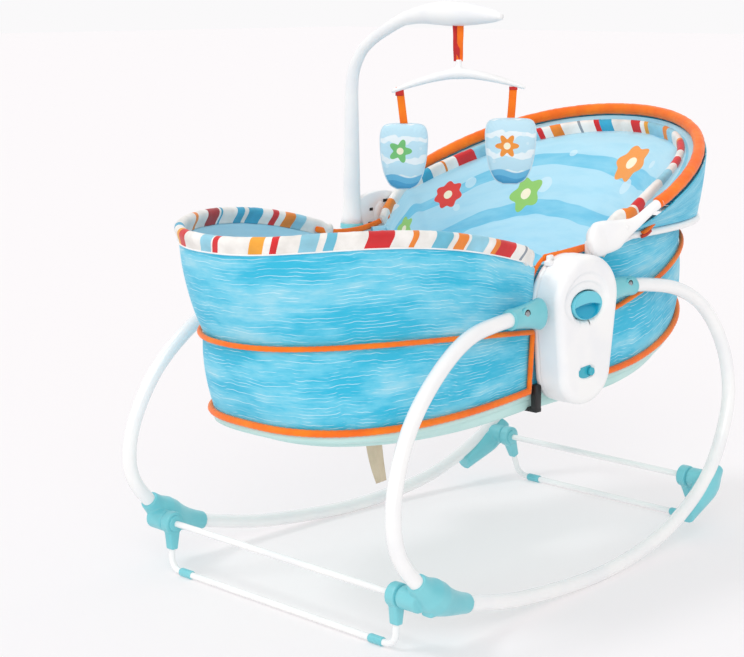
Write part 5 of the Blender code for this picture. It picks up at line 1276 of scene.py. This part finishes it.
makeFootRim()
makeHeadRim()
print("rims made")


# tray under the cradle, with its mattress, brace and strap

trayForm = {"drop": 0.0022, "wall": 0.003, "sheet": 0.0022,
            # inset and drop of the rolled lip, and inset and lift of the rounded edge to the floor
            "lip": ((0.0045, 0.0), (0.001, 0.0), (0.0, 0.001), (0.0006, 0.008), (0.0030, 0.009)),
            "edge": ((0.0012, 0.0026), (0.0036, 0.0010), (0.0080, -0.0012), (0.014, -0.0030),
                     (0.022, -0.0042))}


def trayRing(level, inset, lift):
    front = edgePath(foot, level, inset, lift)
    back = edgePath(head, level, inset, lift)
    return front[1:-1] + back[1:-1][::-1]


def makeTray():
    rows = [trayRing("base", seamInset + inset, -trayForm["drop"] - drop) for inset, drop in trayForm["lip"]]
    sideTop = rows[-1]
    sideLow = trayRing("tray", 0.0, 0.005)
    rows += [[high.lerp(low, k / 6) for high, low in zip(sideTop, sideLow)] for k in range(1, 7)]
    rows += [trayRing("tray", inset, lift) for inset, lift in trayForm["edge"]]
    rows += [[Vector((point.x * (1 - 0.06 * share), point.y * (1 - share), point.z)) for point in rows[-1]]
             for share in [k / 12 for k in range(1, 12)]]
    tray = pieceFromGrid("tray", rows, mint, closed=True)
    settle(thicken(tray, trayForm["sheet"], 1.0), "rocker", "mint_plastic", "base_tray")


makeTray()


mattressForm = {"height": 0.046, "edge": 0.016, "crown": 0.0040, "end": 0.078, "steps": 72, "gap": 0.0008}


def makeMattress():
    floorLift = trayForm["wall"] - 0.005 + mattressForm["gap"]
    hidden = seamInset + bagForm["thickness"] + 0.002
    angles = [math.pi * k / mattressForm["steps"] for k in range(mattressForm["steps"] + 1)]
    rows = []
    for k in range(17):
        turn = math.pi * k / 16 - math.pi / 2
        inward = 1 - math.cos(turn)
        lift = floorLift + mattressForm["height"] * (0.5 + 0.5 * math.sin(turn)) * 0.92
        inset = hidden + mattressForm["edge"] * inward
        row = [edgePoint(foot, "tray", angle, inset, lift) for angle in angles]
        for point in row:
            point.x = min(point.x, -mattressForm["end"] - 0.010 * inward)
        rows.append([point + Vector((0, 0, 0.0012 * ripple(point, 26))) for point in row])
    top = rows[-1]
    for share in [k / 16 for k in range(1, 16)]:
        lift = mattressForm["crown"] * math.sin(share * math.pi / 2)
        rows.append([Vector((point.x, point.y * (1 - share),
                             point.z + lift + 0.0016 * ripple(point, 18, share))) for point in top])
    mattress = pieceFromGrid("mattress", rows, plainLining, closed=True)
    settle(mattress, "rocker", "pale_fabric", "mattress")


makeMattress()


def trayUnderside(x):
    start, tip, overhang, squareness, height, rise, sag = cradleForms[foot]["tray"]
    travel = min(1.0, max(0.0, (abs(x) - start) / (tip - start)))
    return height + rise * travel + sag * travel ** 2 - 0.005


braceForm = {"x": -0.061, "length": 0.013, "thick": 0.006, "block": 0.011, "stand": 0.038, "lift": 0.0045}


def makeBrace():
    base = trayUnderside(braceForm["x"]) + trayForm["wall"] + 0.0003
    reach = waist + 0.0008 + braceForm["block"]
    parts = [boxPiece("brace", (braceForm["x"], 0, base + braceForm["thick"] / 2),
                      (braceForm["length"], reach * 2, braceForm["thick"]), black)]
    for side in (near, far):
        middle = (braceForm["x"], side * (reach - braceForm["block"] / 2),
                  base + braceForm["lift"] + braceForm["stand"] / 2)
        parts.append(boxPiece("brace", middle, (braceForm["length"], braceForm["block"], braceForm["stand"]),
                              black, bevel=0.002))
    settle(joinPieces("brace", parts), "rocker", "black_plastic", "tray_brace")


makeBrace()
strapForm = {"x": -0.205, "y": -0.020, "width": 0.025, "length": 0.104, "thick": 0.0014,
             "turn": math.radians(-46.1), "twist": math.radians(54), "aside": Vector((0.681, -0.707, 0))}


def makeWebbing():
    top = trayUnderside(strapForm["x"]) - 0.0008
    rows = []
    for share in [k / 40 for k in range(41)]:
        turn = strapForm["turn"] + strapForm["twist"] * share ** 1.6
        across = Vector((math.cos(turn), math.sin(turn), 0))
        normal = Vector((-across.y, across.x, 0))
        centre = Vector((strapForm["x"], strapForm["y"], top - strapForm["length"] * share))
        centre += normal * 0.0030 * math.sin(share * 3.4)
        centre += strapForm["aside"] * (0.018 * share - 0.016)
        rows.append([centre + across * strapForm["width"] / 2 * (j / 7 - 1)
                     + normal * 0.0004 * math.sin(j * 1.3 + share * 5) for j in range(15)])
    strap = thicken(pieceFromGrid("webbingStrap", rows, beigeWebbing), strapForm["thick"])
    settle(strap, "rocker", "beige_webbing", "tray_strap")


makeWebbing()
print("tray made")


# backrest: bent tube in an orange sleeve, arms, liner, band and hood

backForm = {
    "pivotX": 0.055, "pivotZ": housingTop + 0.018, "tilt": math.radians(22), "armY": innerY + 0.0245,
    "offset": 0.009, "straight": 0.114, "reach": 0.4234, "half": 0.2679, "square": 2.14, "tube": 0.0050,
    "sleeve": 0.0094, "sleeveStart": 0.118, "sleeveEnd": 0.1085, "armLength": 0.113, "hubRadius": 0.029,
    "hubThick": 0.022, "armEnd": 0.0122, "hubForward": 0.0055, "hubRise": 0.0015, "armSides": 44,
    "screwAt": 0.38, "screwOut": 0.0090, "screwDrop": 0.004,
    # distance out and radius of the screw
    "screw": ((-0.002, 0.0034), (0.0002, 0.0034), (0.0008, 0.0030), (0.0009, 0.0018), (0.0002, 0.0010)),
    # along, half height, thickness and sag of the arm
    "arm": ((-0.262, 0.22, 0.45, 0.0), (-0.250, 0.42, 0.6, 0.0), (-0.20, 0.70, 0.8, 0.0),
            (-0.12, 0.93, 0.95, 0.0), (-0.03, 1.03, 1.0, 0.0), (0.08, 1.03, 1.0, 0.0034),
            (0.20, 0.93, 1.0, 0.0072), (0.30, 0.73, 0.92, 0.0080), (0.40, 0.57, 0.80, 0.0084),
            (0.52, 0.39, 0.70, 0.0098), (0.66, 0.29, 0.66, 0.0080), (0.82, 0.265, 0.66, 0.0036),
            (1.0, 0.27, 0.66, 0.0)),
}
backAlong = Vector((math.cos(backForm["tilt"]), 0, math.sin(backForm["tilt"])))
backAbove = Vector((-math.sin(backForm["tilt"]), 0, math.cos(backForm["tilt"])))
pivot = Vector((backForm["pivotX"], 0, backForm["pivotZ"]))


def backPoint(travel, y, offset=0.0):
    return pivot + backAlong * travel + backAbove * (backForm["offset"] + offset) + sideways * y


def backCurve(angle, inset=0.0, offset=0.0):
    travel = abs(superPower(math.sin(angle), backForm["square"]))
    side = -superPower(math.cos(angle), backForm["square"])
    reach = backForm["straight"] + (backForm["reach"] - inset - backForm["straight"]) * travel
    return backPoint(reach, (backForm["half"] - inset) * side, offset)


def backSide(side, travel):  # on the straight stretch between the hub and the curve
    share = min(1.0, travel / backForm["straight"])
    return backPoint(travel, side * (backForm["armY"] + (backForm["half"] - backForm["armY"]) * share))


def sleeveRadius(gone, angle, share):  # gathered cloth, thinner at both ends, with a seam along it
    crease = ripple((gone * 2.6, math.cos(angle) * 0.0094, math.sin(angle) * 0.0094), 60, 9)
    seam = math.exp(-((angle - 4.4) / 0.16) ** 2)
    full = 0.94 + 0.05 * smoothStep(min(share, 1 - share), 0.02, 0.2)
    return backForm["sleeve"] * full + 0.0006 * crease + 0.0007 * seam


def makeSleeve():
    curve = [backCurve(angle) for angle in evenAngles(backCurve, 90)]
    curve = [point for point in curve if (point - backPoint(0, point.y)).length > backForm["sleeveStart"]]
    path = sidesJoined(curve, lambda side: [backSide(side, backForm["sleeveEnd"])])
    tube = sweep("backrestTube", evenPath(smoothPath(path[1:-1], 3), 0.006), backForm["tube"], steel, 14)
    settle(tube, "backrest", "steel", "backrest_tube")
    sleeve = sweep("backrestSleeve", evenPath(smoothPath(path, 3), 0.0035), sleeveRadius, orangeCloth, 26)
    settle(sleeve, "backrest", "orange_fabric", "backrest_sleeve")


def makeArm(side):
    name = sideName[side] + "Arm"
    end = backSide(side, backForm["armLength"])
    hub = Vector((pivot.x + backForm["hubForward"], side * backForm["armY"], pivot.z + backForm["hubRise"]))
    along = (end - hub).normalized()
    up = along.cross(sideways)
    if up.z < 0:
        up = -up
    length = (end - hub).length
    shares = smoothPath([entry[:3] for entry in backForm["arm"]], 5)
    sags = smoothPath([(entry[3], 0, 0) for entry in backForm["arm"]], 5)
    turns = [math.tau * k / backForm["armSides"] for k in range(backForm["armSides"])]
    rings = []
    for share, sag in zip(shares, sags):
        blend = min(1.0, max(0.0, share.x))
        tall = backForm["hubRadius"] * share.y
        thick = (backForm["hubThick"] * (1 - blend) / 2 + backForm["armEnd"] * blend) * share.z
        centre = hub + along * length * share.x - up * sag.x
        centre.y = hub.y + (end.y - hub.y) * blend
        rings.append([centre + sideways * thick * superPower(math.cos(turn), 2.5) + up * tall * math.sin(turn)
                      for turn in turns])
    arm = solidFromRings(name, rings, white)
    settle(arm, "backrest", "white_plastic", sideName[side] + "_pivot_arm")
    place = hub + along * length * backForm["screwAt"]
    surface = hub.y + (end.y - hub.y) * backForm["screwAt"] + side * backForm["screwOut"]
    place = (place.x, surface, place.z - backForm["screwDrop"])
    screw = lathe(name + "Screw", backForm["screw"], place, sideways * side, white, 24)
    settle(screw, "backrest", "white_plastic")


bracketForm = {
    # the plate's outline and its three slots, whose shade is painted as thin black plates: x, z and a slot's
    # width
    "outline": ((-0.006, 0.5520), (0.028, 0.5625), (0.066, 0.5640), (0.094, 0.5560), (0.096, 0.5330),
                (0.072, 0.5140), (0.040, 0.5030), (0.014, 0.5020), (-0.002, 0.5160), (-0.010, 0.5340)),
    "slots": ((0.0619, 0.5473, 0.0110), (0.0278, 0.5351, 0.0080), (0.0254, 0.5117, 0.0100)),
    # size as a share and the place across the cradle, from the back to the front
    "depths": ((0.90, 0.2330), (1.0, 0.2318), (1.0, 0.2240), (0.985, 0.2228), (0.95, 0.2222), (0.4, 0.2222)),
    "middle": Vector((0.044, 0, 0.534)),
}


def makeBracket():  # the far hub's inner plate
    corners = [Vector((x, 0, z)) for x, z in bracketForm["outline"]]
    closed = smoothPath(corners + corners[:1], 4)[:-1]
    rings = [[bracketForm["middle"].lerp(point, size) + sideways * y for point in closed]
             for size, y in bracketForm["depths"]]
    settle(solidFromRings("farBracket", rings, white), "backrest", "white_plastic")
    for x, z, wide in bracketForm["slots"]:
        # each slot is a thin black plate on the face: painted shade inside the slot
        slot = boxPiece("farBracketSlotShade", (x, bracketForm["depths"][-1][1], z), (wide, 0.0012, 0.0050), black,
                        bevel=0.0005)
        settle(slot, "backrest", "white_plastic")


makeSleeve()
for side in (near, far):
    makeArm(side)
makeBracket()

linerForm = {
    "startX": -0.023, "lift": 0.018, "tilt": math.radians(16.2), "straight": 0.110, "reach": 0.433,
    "half": 0.226, "square": 2.16, "thickness": 0.0024, "seatStart": 0.006, "seatReach": 0.115,
    "seatHalf": 0.135, "seatDrop": 0.146, "sag": 0.030, "nearSag": 0.021, "sagFrom": 0.130, "sagOver": 0.060,
    "topLift": -0.011, "rows": 56, "broad": 0.0020, "fine": 0.0012, "seam": 0.0035, "seamAt": 0.42,
    "seamWidth": 0.014, "seatDip": 0.004,
    # the top edge's run from each housing to its curve: x, distance out, height
    near: ((0.0830, 0.2000, 0.5000), (0.0900, 0.2060, 0.5160), (0.1020, 0.2130, 0.5360),
           (0.1180, 0.2200, 0.5540)),
    far: ((0.0300, 0.1970, 0.5190), (0.0485, 0.2060, 0.5320), (0.0800, 0.2140, 0.5540),
          (0.1100, 0.2210, 0.5730)),
}
linerAlong = Vector((math.cos(linerForm["tilt"]), 0, math.sin(linerForm["tilt"])))
linerStart = Vector((pivot.x + linerForm["startX"], 0, pivot.z + linerForm["lift"]))

def linerTop(angle):
    travel = abs(superPower(math.sin(angle), linerForm["square"]))
    side = -superPower(math.cos(angle), linerForm["square"])
    reach = linerForm["straight"] + (linerForm["reach"] - linerForm["straight"]) * travel
    return linerStart + linerAlong * reach + sideways * linerForm["half"] * side


linerAngles = evenAngles(linerTop, 110)


def linerRing(lift=0.0):
    points = [linerTop(angle) + Vector((0, 0, lift)) for angle in linerAngles]
    for point in points:
        if point.y < 0:
            past = (point.x - linerForm["sagFrom"]) / linerForm["sagOver"]
            point.z -= linerForm["nearSag"] * math.exp(-past)
    points = sidesJoined(points, lambda side: [Vector((x, side * y, z + lift))
                                               for x, y, z in linerForm[side]])
    return evenPath(smoothPath(points, 3), 0.0085)


def makeLiner():
    top = linerRing(lift=linerForm["topLift"])
    rows = []
    for share in [r / linerForm["rows"] for r in range(linerForm["rows"] + 1)]:
        row = []
        for k, point in enumerate(top):
            angle = math.pi * (k / (len(top) - 1))
            seat = Vector((pivot.x + linerForm["seatStart"] + linerForm["seatReach"] * math.sin(angle),
                           -linerForm["seatHalf"] * math.cos(angle), pivot.z - linerForm["seatDrop"]))
            place = point.lerp(seat, share ** 0.75)
            sag = math.sin(math.pi * share) * math.sin(angle)
            place.z = point.z + (seat.z - point.z) * share ** 1.1 - linerForm["sag"] * sag
            inward = Vector((pivot.x + 0.15 - place.x, -place.y, 0.10)).normalized()
            fine = linerForm["fine"] * smoothStep(share, 0.0, 0.1)
            soft = linerForm["broad"] * ripple(place, 12, 2) + fine * ripple(place, 34, 6)
            away = (share - linerForm["seamAt"]) / linerForm["seamWidth"]
            seam = linerForm["seam"] * math.exp(-away ** 2)
            row.append(place + inward * (soft - seam) * smoothStep(share, 0.0, 0.08))
        rows.append(row)
    seat = rows[-1]
    for share in [k / 14 for k in range(1, 14)]:
        dip = linerForm["seatDip"] * math.sin(share * math.pi / 2)
        heights = [point.z - dip + linerForm["fine"] * ripple(point, 22, share) for point in seat]
        rows.append([Vector((point.x, point.y * (1 - share), height)) for point, height in zip(seat, heights)])
    liner = thicken(pieceFromGrid("backrestLiner", rows, paleLining), linerForm["thickness"])
    settle(liner, "backrest", "pale_fabric", "backrest_liner")


makeLiner()


bandForm = {"thick": 0.0060, "top": 0.0100, "bottom": -0.0190, "columns": 120, "rows": 8, "start": 0.10,
            "span": 0.80, "inset": 0.00475, "offset": -0.0110, "slack": 0.003, "ripple": 0.0012}


def makeBand():  # the padded band on the liner's edge, and the strip from it up to the sleeve
    ring = linerRing()
    shape = casingShape(bandForm["thick"], bandForm["top"], bandForm["bottom"])
    band = casing("headrestCasing", evenPath(ring, 0.0035), shape, headRollCloth, casingWobble(8.0))
    settle(band, "backrest", "striped_fabric", "headrest_band")
    shares = [k / bandForm["columns"] for k in range(bandForm["columns"] + 1)]
    upper = [backCurve(math.pi * (bandForm["start"] + bandForm["span"] * share),
                       bandForm["inset"], bandForm["offset"]) for share in shares]
    lower = [ring[5 + round((len(ring) - 11) * share)] for share in shares]
    rows = []
    for share in [r / bandForm["rows"] for r in range(bandForm["rows"] + 1)]:
        hang = math.sin(math.pi * share)
        lifts = [(bandForm["ripple"] * ripple(high, 60, 3) - bandForm["slack"]) * hang for high in upper]
        rows.append([high.lerp(low, share) + Vector((0, 0, lift))
                     for high, low, lift in zip(upper, lower, lifts)])
    strip = pieceFromGrid("headrestStrip", rows, plainLining)
    settle(strip, "backrest", "striped_fabric", "headrest_band")


makeBand()
hoodForm = {"columns": 168, "rows": 40, "start": 0.022, "outset": 0.00895, "drop": 0.0102, "rimLift": 0.0066,
            "thickness": 0.0020, "middle": 0.30, "blendLow": 0.0166, "blendHigh": 0.0825}


def makeHood():  # from the sleeve down to the head rim, blended between them
    count = hoodForm["columns"]
    start = hoodForm["start"]
    angles = [math.pi * (start + (1 - 2 * start) * k / count) for k in range(count + 1)]
    upper = [backCurve(angle, -hoodForm["outset"], -hoodForm["drop"]) for angle in angles]
    lower = [edgePoint(head, "rim", angle, lift=hoodForm["rimLift"]) for angle in angles]
    rows = []
    for share in [r / hoodForm["rows"] for r in range(hoodForm["rows"] + 1)]:
        rows.append([point + flatOut(point) * (bagPucker(point, share, 7.0) * 0.9)
                     for point in blendRow(lower, upper, 1 - share)])
    hood = thicken(pieceFromGrid("backrestHood", rows, blueWaves), hoodForm["thickness"])
    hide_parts("backrest_hood")
    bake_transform(hood)


makeHood()
print("backrest made")


# toy bar and its mobile

barForm = {
    "x": -0.008, "base": housingTop + 0.0063, "reach": 0.318, "height": 0.345, "radius": 0.01375,
    # outward reach, height and thickness as shares, from the socket to the tip
    "arm": ((0.0, 0.0, 1.0), (0.0, 0.30, 0.86), (0.0, 0.55, 0.74), (0.003, 0.66, 0.68),
            (0.019, 0.735, 0.64), (0.056, 0.800, 0.60), (0.10, 0.846, 0.58), (0.186, 0.898, 0.58),
            (0.34, 0.966, 0.64), (0.42, 0.986, 0.78), (0.50, 0.998, 0.98), (0.60, 1.003, 1.22),
            (0.68, 1.003, 1.30), (0.78, 1.001, 1.18), (0.88, 0.998, 0.90), (0.95, 0.994, 0.60),
            (1.0, 0.990, 0.24)),
    # height and radius of the socket's ring
    "socket": ((-0.020, 0.0192), (-0.0010, 0.0192), (0.0008, 0.0186), (0.0012, 0.0160)),
}


def radiiAlong(points, radii):  # a sweep radius from one radius at each point of the path
    gone = distances(points)

    def radius(distance, angle, share):
        return radii[max(k for k in range(len(gone)) if gone[k] <= distance + 1e-7)]
    return radius


def makeToyBar():
    points = smoothPath([(barForm["x"], housingY - barForm["reach"] * out,
                          barForm["base"] + barForm["height"] * up) for out, up, thick in barForm["arm"]], 8)
    radii = smoothPath([(barForm["radius"] * thick, 0, 0) for out, up, thick in barForm["arm"]], 8)
    radii = [radius.x + 0.0013 + 0.0030 * (1 - smoothStep(point.z - barForm["base"], 0.0, 0.030))
             for radius, point in zip(radii, points)]
    bar = sweep("toyBar", points, radiiAlong(points, radii), white, 36)
    settle(bar, "toy_bar", "white_plastic", "toy_bar")
    base = (barForm["x"], housingY, barForm["base"])
    socket = lathe("toyBarSocket", barForm["socket"], base, (0, 0, 1), teal, 48)
    settle(socket, "rocker", "teal_plastic", "toy_bar_socket")


makeToyBar()
mobileForm = {
    "top": (barForm["x"], -0.0005, 0.847), "turn": math.radians(-46.1), "ribbonWidth": 0.0102,
    "ribbonLength": 0.060, "bowZ": 0.7690, "half": 0.104, "drop": 0.0255, "radius": 0.0082, "tip": 0.003,
    "hub": 0.001, "tilt": 0.0030,
    # height and radius of the cone on the bow
    "cone": ((-0.004, 0.0090), (0.001, 0.0088), (0.005, 0.0064), (0.010, 0.0048), (0.0170, 0.0044),
             (0.0178, 0.0036)),
    "toyAt": 0.087, "strapWidth": 0.0120, "strapTop": 0.7474, "toyHeight": 0.102, "toyThick": 0.020,
    "hem": 0.0011, "rings": 15,
    foot: {"length": 0.056, "swayTop": -0.0045, "sway": 0.0025, "loop": 0.0110, "loopLift": -0.0022,
           "width": 0.073},
    head: {"length": 0.048, "swayTop": -0.0020, "sway": -0.0050, "loop": 0.0050, "loopLift": 0.0010,
           "width": 0.078},
    # half width and height of a toy's outline as shares
    "toy": ((0.30, 1.0), (0.72, 0.985), (0.92, 0.93), (1.0, 0.80), (0.99, 0.62), (0.93, 0.42), (0.80, 0.22),
            (0.58, 0.07), (0.28, 0.005)),
}
bowAcross = Vector((math.cos(mobileForm["turn"]), math.sin(mobileForm["turn"]), 0))
bowNormal = Vector((-bowAcross.y, bowAcross.x, 0))
mobileTop = Vector(mobileForm["top"])


def makeRibbon(offset, cloth, back, seed):
    rows = []
    for share in [k / 30 for k in range(31)]:
        turn = 0.5 * math.sin(share * 5.0 + seed)
        across = (bowAcross * math.cos(turn) + bowNormal * math.sin(turn)).normalized()
        centre = mobileTop - Vector((0, 0, mobileForm["ribbonLength"] * share))
        centre += bowAcross * offset * (1 - 0.4 * share)
        centre += bowNormal * (back + 0.0012 * math.sin(share * 7 + seed))
        rows.append([centre + across * mobileForm["ribbonWidth"] * (j / 6 - 0.5) for j in range(7)])
    ribbon = thicken(pieceFromGrid("mobileRibbon", rows, cloth), 0.0009)
    settle(ribbon, "mobile", "orange_fabric", "mobile_ribbon")


def makeBow():
    points = []
    radii = []
    for share in [k / 32 - 1 for k in range(65)]:
        away = abs(share)
        hub = max(0.0, 1 - away / 0.2)
        drop = mobileForm["drop"] * away ** 1.5 - mobileForm["tilt"] * share
        radius = (mobileForm["radius"] + (mobileForm["tip"] - mobileForm["radius"]) * away ** 1.3
                  + mobileForm["hub"] * hub * hub * (3 - 2 * hub))
        points.append(Vector((mobileTop.x, mobileTop.y, mobileForm["bowZ"] - drop))
                      + bowAcross * mobileForm["half"] * share)
        radii.append(radius * (0.75 if away == 1 else 1.0))
    beam = sweep("mobileBow", points, radiiAlong(points, radii), white, 28)
    cone = lathe("mobileBow", mobileForm["cone"], (mobileTop.x, mobileTop.y, mobileForm["bowZ"] + 0.003),
                 (0, 0, 1), white, 32)
    settle(fuse("mobileBow", [beam, cone], 0.0010, 4, white), "mobile", "white_plastic", "mobile_bow")


def flatUv(piece, across, origin):  # lay the cloth's print flat on the piece
    layer = piece.data.uv_layers[0]
    for loop in piece.data.loops:
        place = piece.data.vertices[loop.vertex_index].co - origin
        layer.data[loop.index].uv = (place.dot(across), place.z)


def makeToyStrap(end, place):
    form = mobileForm[end]
    top = place + Vector((0, 0, mobileForm["strapTop"]))
    rows = []
    for share in [k / 30 for k in range(31)]:
        centre = top - Vector((0, 0, form["length"] * share)) + bowNormal * 0.0010 * math.sin(share * 6 + end)
        centre += bowAcross * (form["swayTop"] * (1 - share) + form["sway"] * share)
        rows.append([centre + bowAcross * mobileForm["strapWidth"] * (j / 8 - 0.5) for j in range(9)])
    strap = thicken(pieceFromGrid(halfName[end] + "ToyStrap", rows, orangeCloth), 0.0012)
    settle(strap, halfName[end] + "_toy", "orange_fabric", halfName[end] + "_toy_strap")
    high = top + bowAcross * form["swayTop"] + Vector((0, 0, form["loopLift"]))
    rows = [[high - Vector((0, 0, form["loop"] * k / 4))
             + bowAcross * (mobileForm["strapWidth"] + 0.0008) * (j / 8 - 0.5) for j in range(9)]
            for k in range(5)]
    loop = thicken(pieceFromGrid(halfName[end] + "ToyLoop", rows, redLoopAndRibbonShade), 0.0024)
    settle(loop, halfName[end] + "_toy", "orange_fabric")


def makeToy(end):
    form = mobileForm[end]
    name = halfName[end] + "Toy"
    body = halfName[end] + "_toy"
    place = Vector((mobileTop.x, mobileTop.y, 0)) + bowAcross * mobileForm["toyAt"] * end
    makeToyStrap(end, place)
    place += bowAcross * form["sway"]
    place.z = mobileForm["strapTop"] - form["length"] - 0.0003 - mobileForm["toyHeight"]
    outline = smoothPath([(form["width"] / 2 * wide, 0, mobileForm["toyHeight"] * up)
                          for wide, up in mobileForm["toy"]], 5)
    outline += [Vector((-point.x, 0, point.z)) for point in outline[::-1]]
    middle = Vector((0, 0, mobileForm["toyHeight"] * 0.52))
    rings = []
    for face in (-1, 1):
        for k in range(mobileForm["rings"] + 1):
            share = k / mobileForm["rings"]
            size = max(0.02, 1 - (1 - share if face < 0 else share) ** 1.4)
            full = mobileForm["toyThick"] / 2 * (1 - size ** 3.2) ** 0.5
            ring = []
            for index, point in enumerate(outline):
                spot = middle.lerp(point, size)
                tuck = 0.0060 * math.sin(index * 1.9) * smoothStep(size, 0.7, 0.97) * (1 - size)
                soft = 0.0012 * ripple((spot.x, spot.z, face), 40, end) * (1 - size ** 4)
                ring.append(place + bowAcross * spot.x + bowNormal * face * (full + tuck + soft)
                            + Vector((0, 0, spot.z)))
            rings.append(ring)
    toy = solidFromRings(name, rings, toyPrints[end])
    flatUv(toy, bowAcross, place + shift)
    settle(toy, body, "pale_fabric", body)
    edge = [place + bowAcross * point.x * 1.004 + Vector((0, 0, point.z)) for point in outline]
    hem = sweep(name + "Hem", edge + edge[:1], mobileForm["hem"], paleHem, 10, caps=False)
    settle(hem, body, "pale_fabric")


# the back strand is the same orange ribbon; its dark red is painted shade
makeRibbon(-0.0052, redLoopAndRibbonShade, 0.0016, 0.0)
makeRibbon(0.0022, orangeCloth, -0.0006, 2.0)
makeBow()
for end in (foot, head):
    makeToy(end)
print("mobile made")

# trims at the tops of the housings

trimForm = {
    "thick": 0.0016, near: 0.0058, far: 0.0050,
    # each side's route along the housing's top: x, distance out, height
    "routes": {
        near: ((-0.048, 0.2045, 0.5050), (-0.020, 0.2045, 0.5060), (0.015, 0.2045, 0.5080),
               (0.064, 0.2040, 0.5110)),
        far: ((-0.118, 0.2060, 0.5170), (-0.080, 0.2050, 0.5090), (-0.045, 0.2035, 0.5070),
              (-0.012, 0.2030, 0.5088), (0.020, 0.2025, 0.5145), (0.050, 0.2015, 0.5245)),
    },
    # middle and size of the two blocks of the white clip
    "clip": (((-0.041, 0.2120, 0.5035), (0.014, 0.007, 0.013)),
             ((-0.047, 0.2150, 0.4985), (0.012, 0.012, 0.008))),
    "cord": ((0.190, 0.2130, 0.5190), (0.200, 0.2150, 0.5235), (0.218, 0.2140, 0.5330)),
    "stitch": ((0.186, 0.2150, 0.5150), (0.196, 0.2175, 0.5180), (0.206, 0.2175, 0.5230)),
}


def trimPath(side, points, steps):
    return smoothPath([(x, side * y, z) for x, y, z in points], steps)


def makeTrims(side):
    name = sideName[side]
    shape = [(trimForm["thick"] * math.cos(math.tau * k / 16), trimForm[side] * math.sin(math.tau * k / 16))
             for k in range(16)]
    route = evenPath(trimPath(side, trimForm["routes"][side], 8), 0.004)
    trim = casing(name + "Trim", route, shape, orangeCloth, casingWobble(3.0, 0.8))
    settle(trim, "rocker", "orange_fabric")
    blocks = [boxPiece(name + "Clip", (x, side * y, z), size, white, 0.2, 0.002)
              for (x, y, z), size in trimForm["clip"]]
    settle(fuse(name + "Clip", blocks, 0.0008, 3, white), "rocker", "white_plastic")
    cord = sweep(name + "HoodCord", trimPath(side, trimForm["cord"], 6), 0.0042, orangeCloth, 16)
    settle(cord, "rocker", "orange_fabric")
    stitch = sweep(name + "HoodStitch", trimPath(side, trimForm["stitch"], 6), 0.0030, redStitch, 14)
    settle(stitch, "rocker", "orange_fabric")


for side in (near, far):
    makeTrims(side)


# camera, floor and lights

cameraForm = {"place": (-2.0585, -1.809, 0.895), "direction": (0.707, 0.681, -0.189), "lens": 85.0,
              "sensor": 36.0}
cameraData = bpy.data.cameras.new("camera")
cameraData.lens = cameraForm["lens"]
cameraData.sensor_width = cameraForm["sensor"]
camera = bpy.data.objects.new("camera", cameraData)
camera.location = cameraForm["place"]
camera.rotation_euler = Vector(cameraForm["direction"]).to_track_quat("-Z", "Y").to_euler()
bpy.context.scene.collection.objects.link(camera)
bpy.context.scene.camera = camera


floorForm = {"half": 30, "colour": rgb(198, 196, 197), "glow": rgb(252, 249, 250), "glowStrength": 0.385}


def makeFloor():
    make = NodeBuilder("studioFloor")
    material = make.setShader(colour=floorForm["colour"], rough=1.0, specular=0.0, glow=floorForm["glow"],
                              glowStrength=floorForm["glowStrength"])
    ends = (-floorForm["half"], floorForm["half"])
    pieceFromGrid("studioFloor", [[Vector((x, y, 0)) for x in ends] for y in ends], material)


makeFloor()
lightForms = {  # travel, strength, spread in degrees, colour
    "front": ((0.70, 0.62, -0.50), 1.05, 50, (1.0, 0.985, 0.965)),
    "key": ((0.50, -0.45, -1.0), 0.66, 14, (1.0, 1.0, 1.0)),
}
for name, (travel, strength, spread, colour) in lightForms.items():
    light = bpy.data.lights.new(name, "SUN")
    light.energy = strength
    light.angle = math.radians(spread)
    light.color = colour
    lamp = bpy.data.objects.new(name, light)
    lamp.location = (0, 0, 3)
    lamp.rotation_euler = Vector(travel).to_track_quat("-Z", "Y").to_euler()
    bpy.context.scene.collection.objects.link(lamp)

worldForm = {"towards": (0.72, 0.69, 0.0), "from": -0.1, "to": 0.80, "dim": 0.66, "bright": 0.955,
             "colour": (1.0, 0.992, 1.0, 1.0)}


def makeWorld():  # a white backdrop behind the cradle and a dimmer room round it
    world = bpy.data.worlds.new("studio")
    world.use_nodes = True
    nodes = world.node_tree.nodes
    links = world.node_tree.links
    coordinate = nodes.new("ShaderNodeTexCoord")
    facing = nodes.new("ShaderNodeVectorMath")
    facing.operation = "DOT_PRODUCT"
    facing.inputs[1].default_value = worldForm["towards"]
    spread = nodes.new("ShaderNodeMapRange")
    spread.interpolation_type = "SMOOTHSTEP"
    for index, key in enumerate(("from", "to", "dim", "bright"), 1):
        spread.inputs[index].default_value = worldForm[key]
    links.new(coordinate.outputs["Generated"], facing.inputs[0])
    links.new(facing.outputs["Value"], spread.inputs[0])
    links.new(spread.outputs[0], nodes["Background"].inputs["Strength"])
    nodes["Background"].inputs["Color"].default_value = worldForm["colour"]
    bpy.context.scene.world = world


makeWorld()
bpy.context.scene.view_settings.view_transform = "Standard"
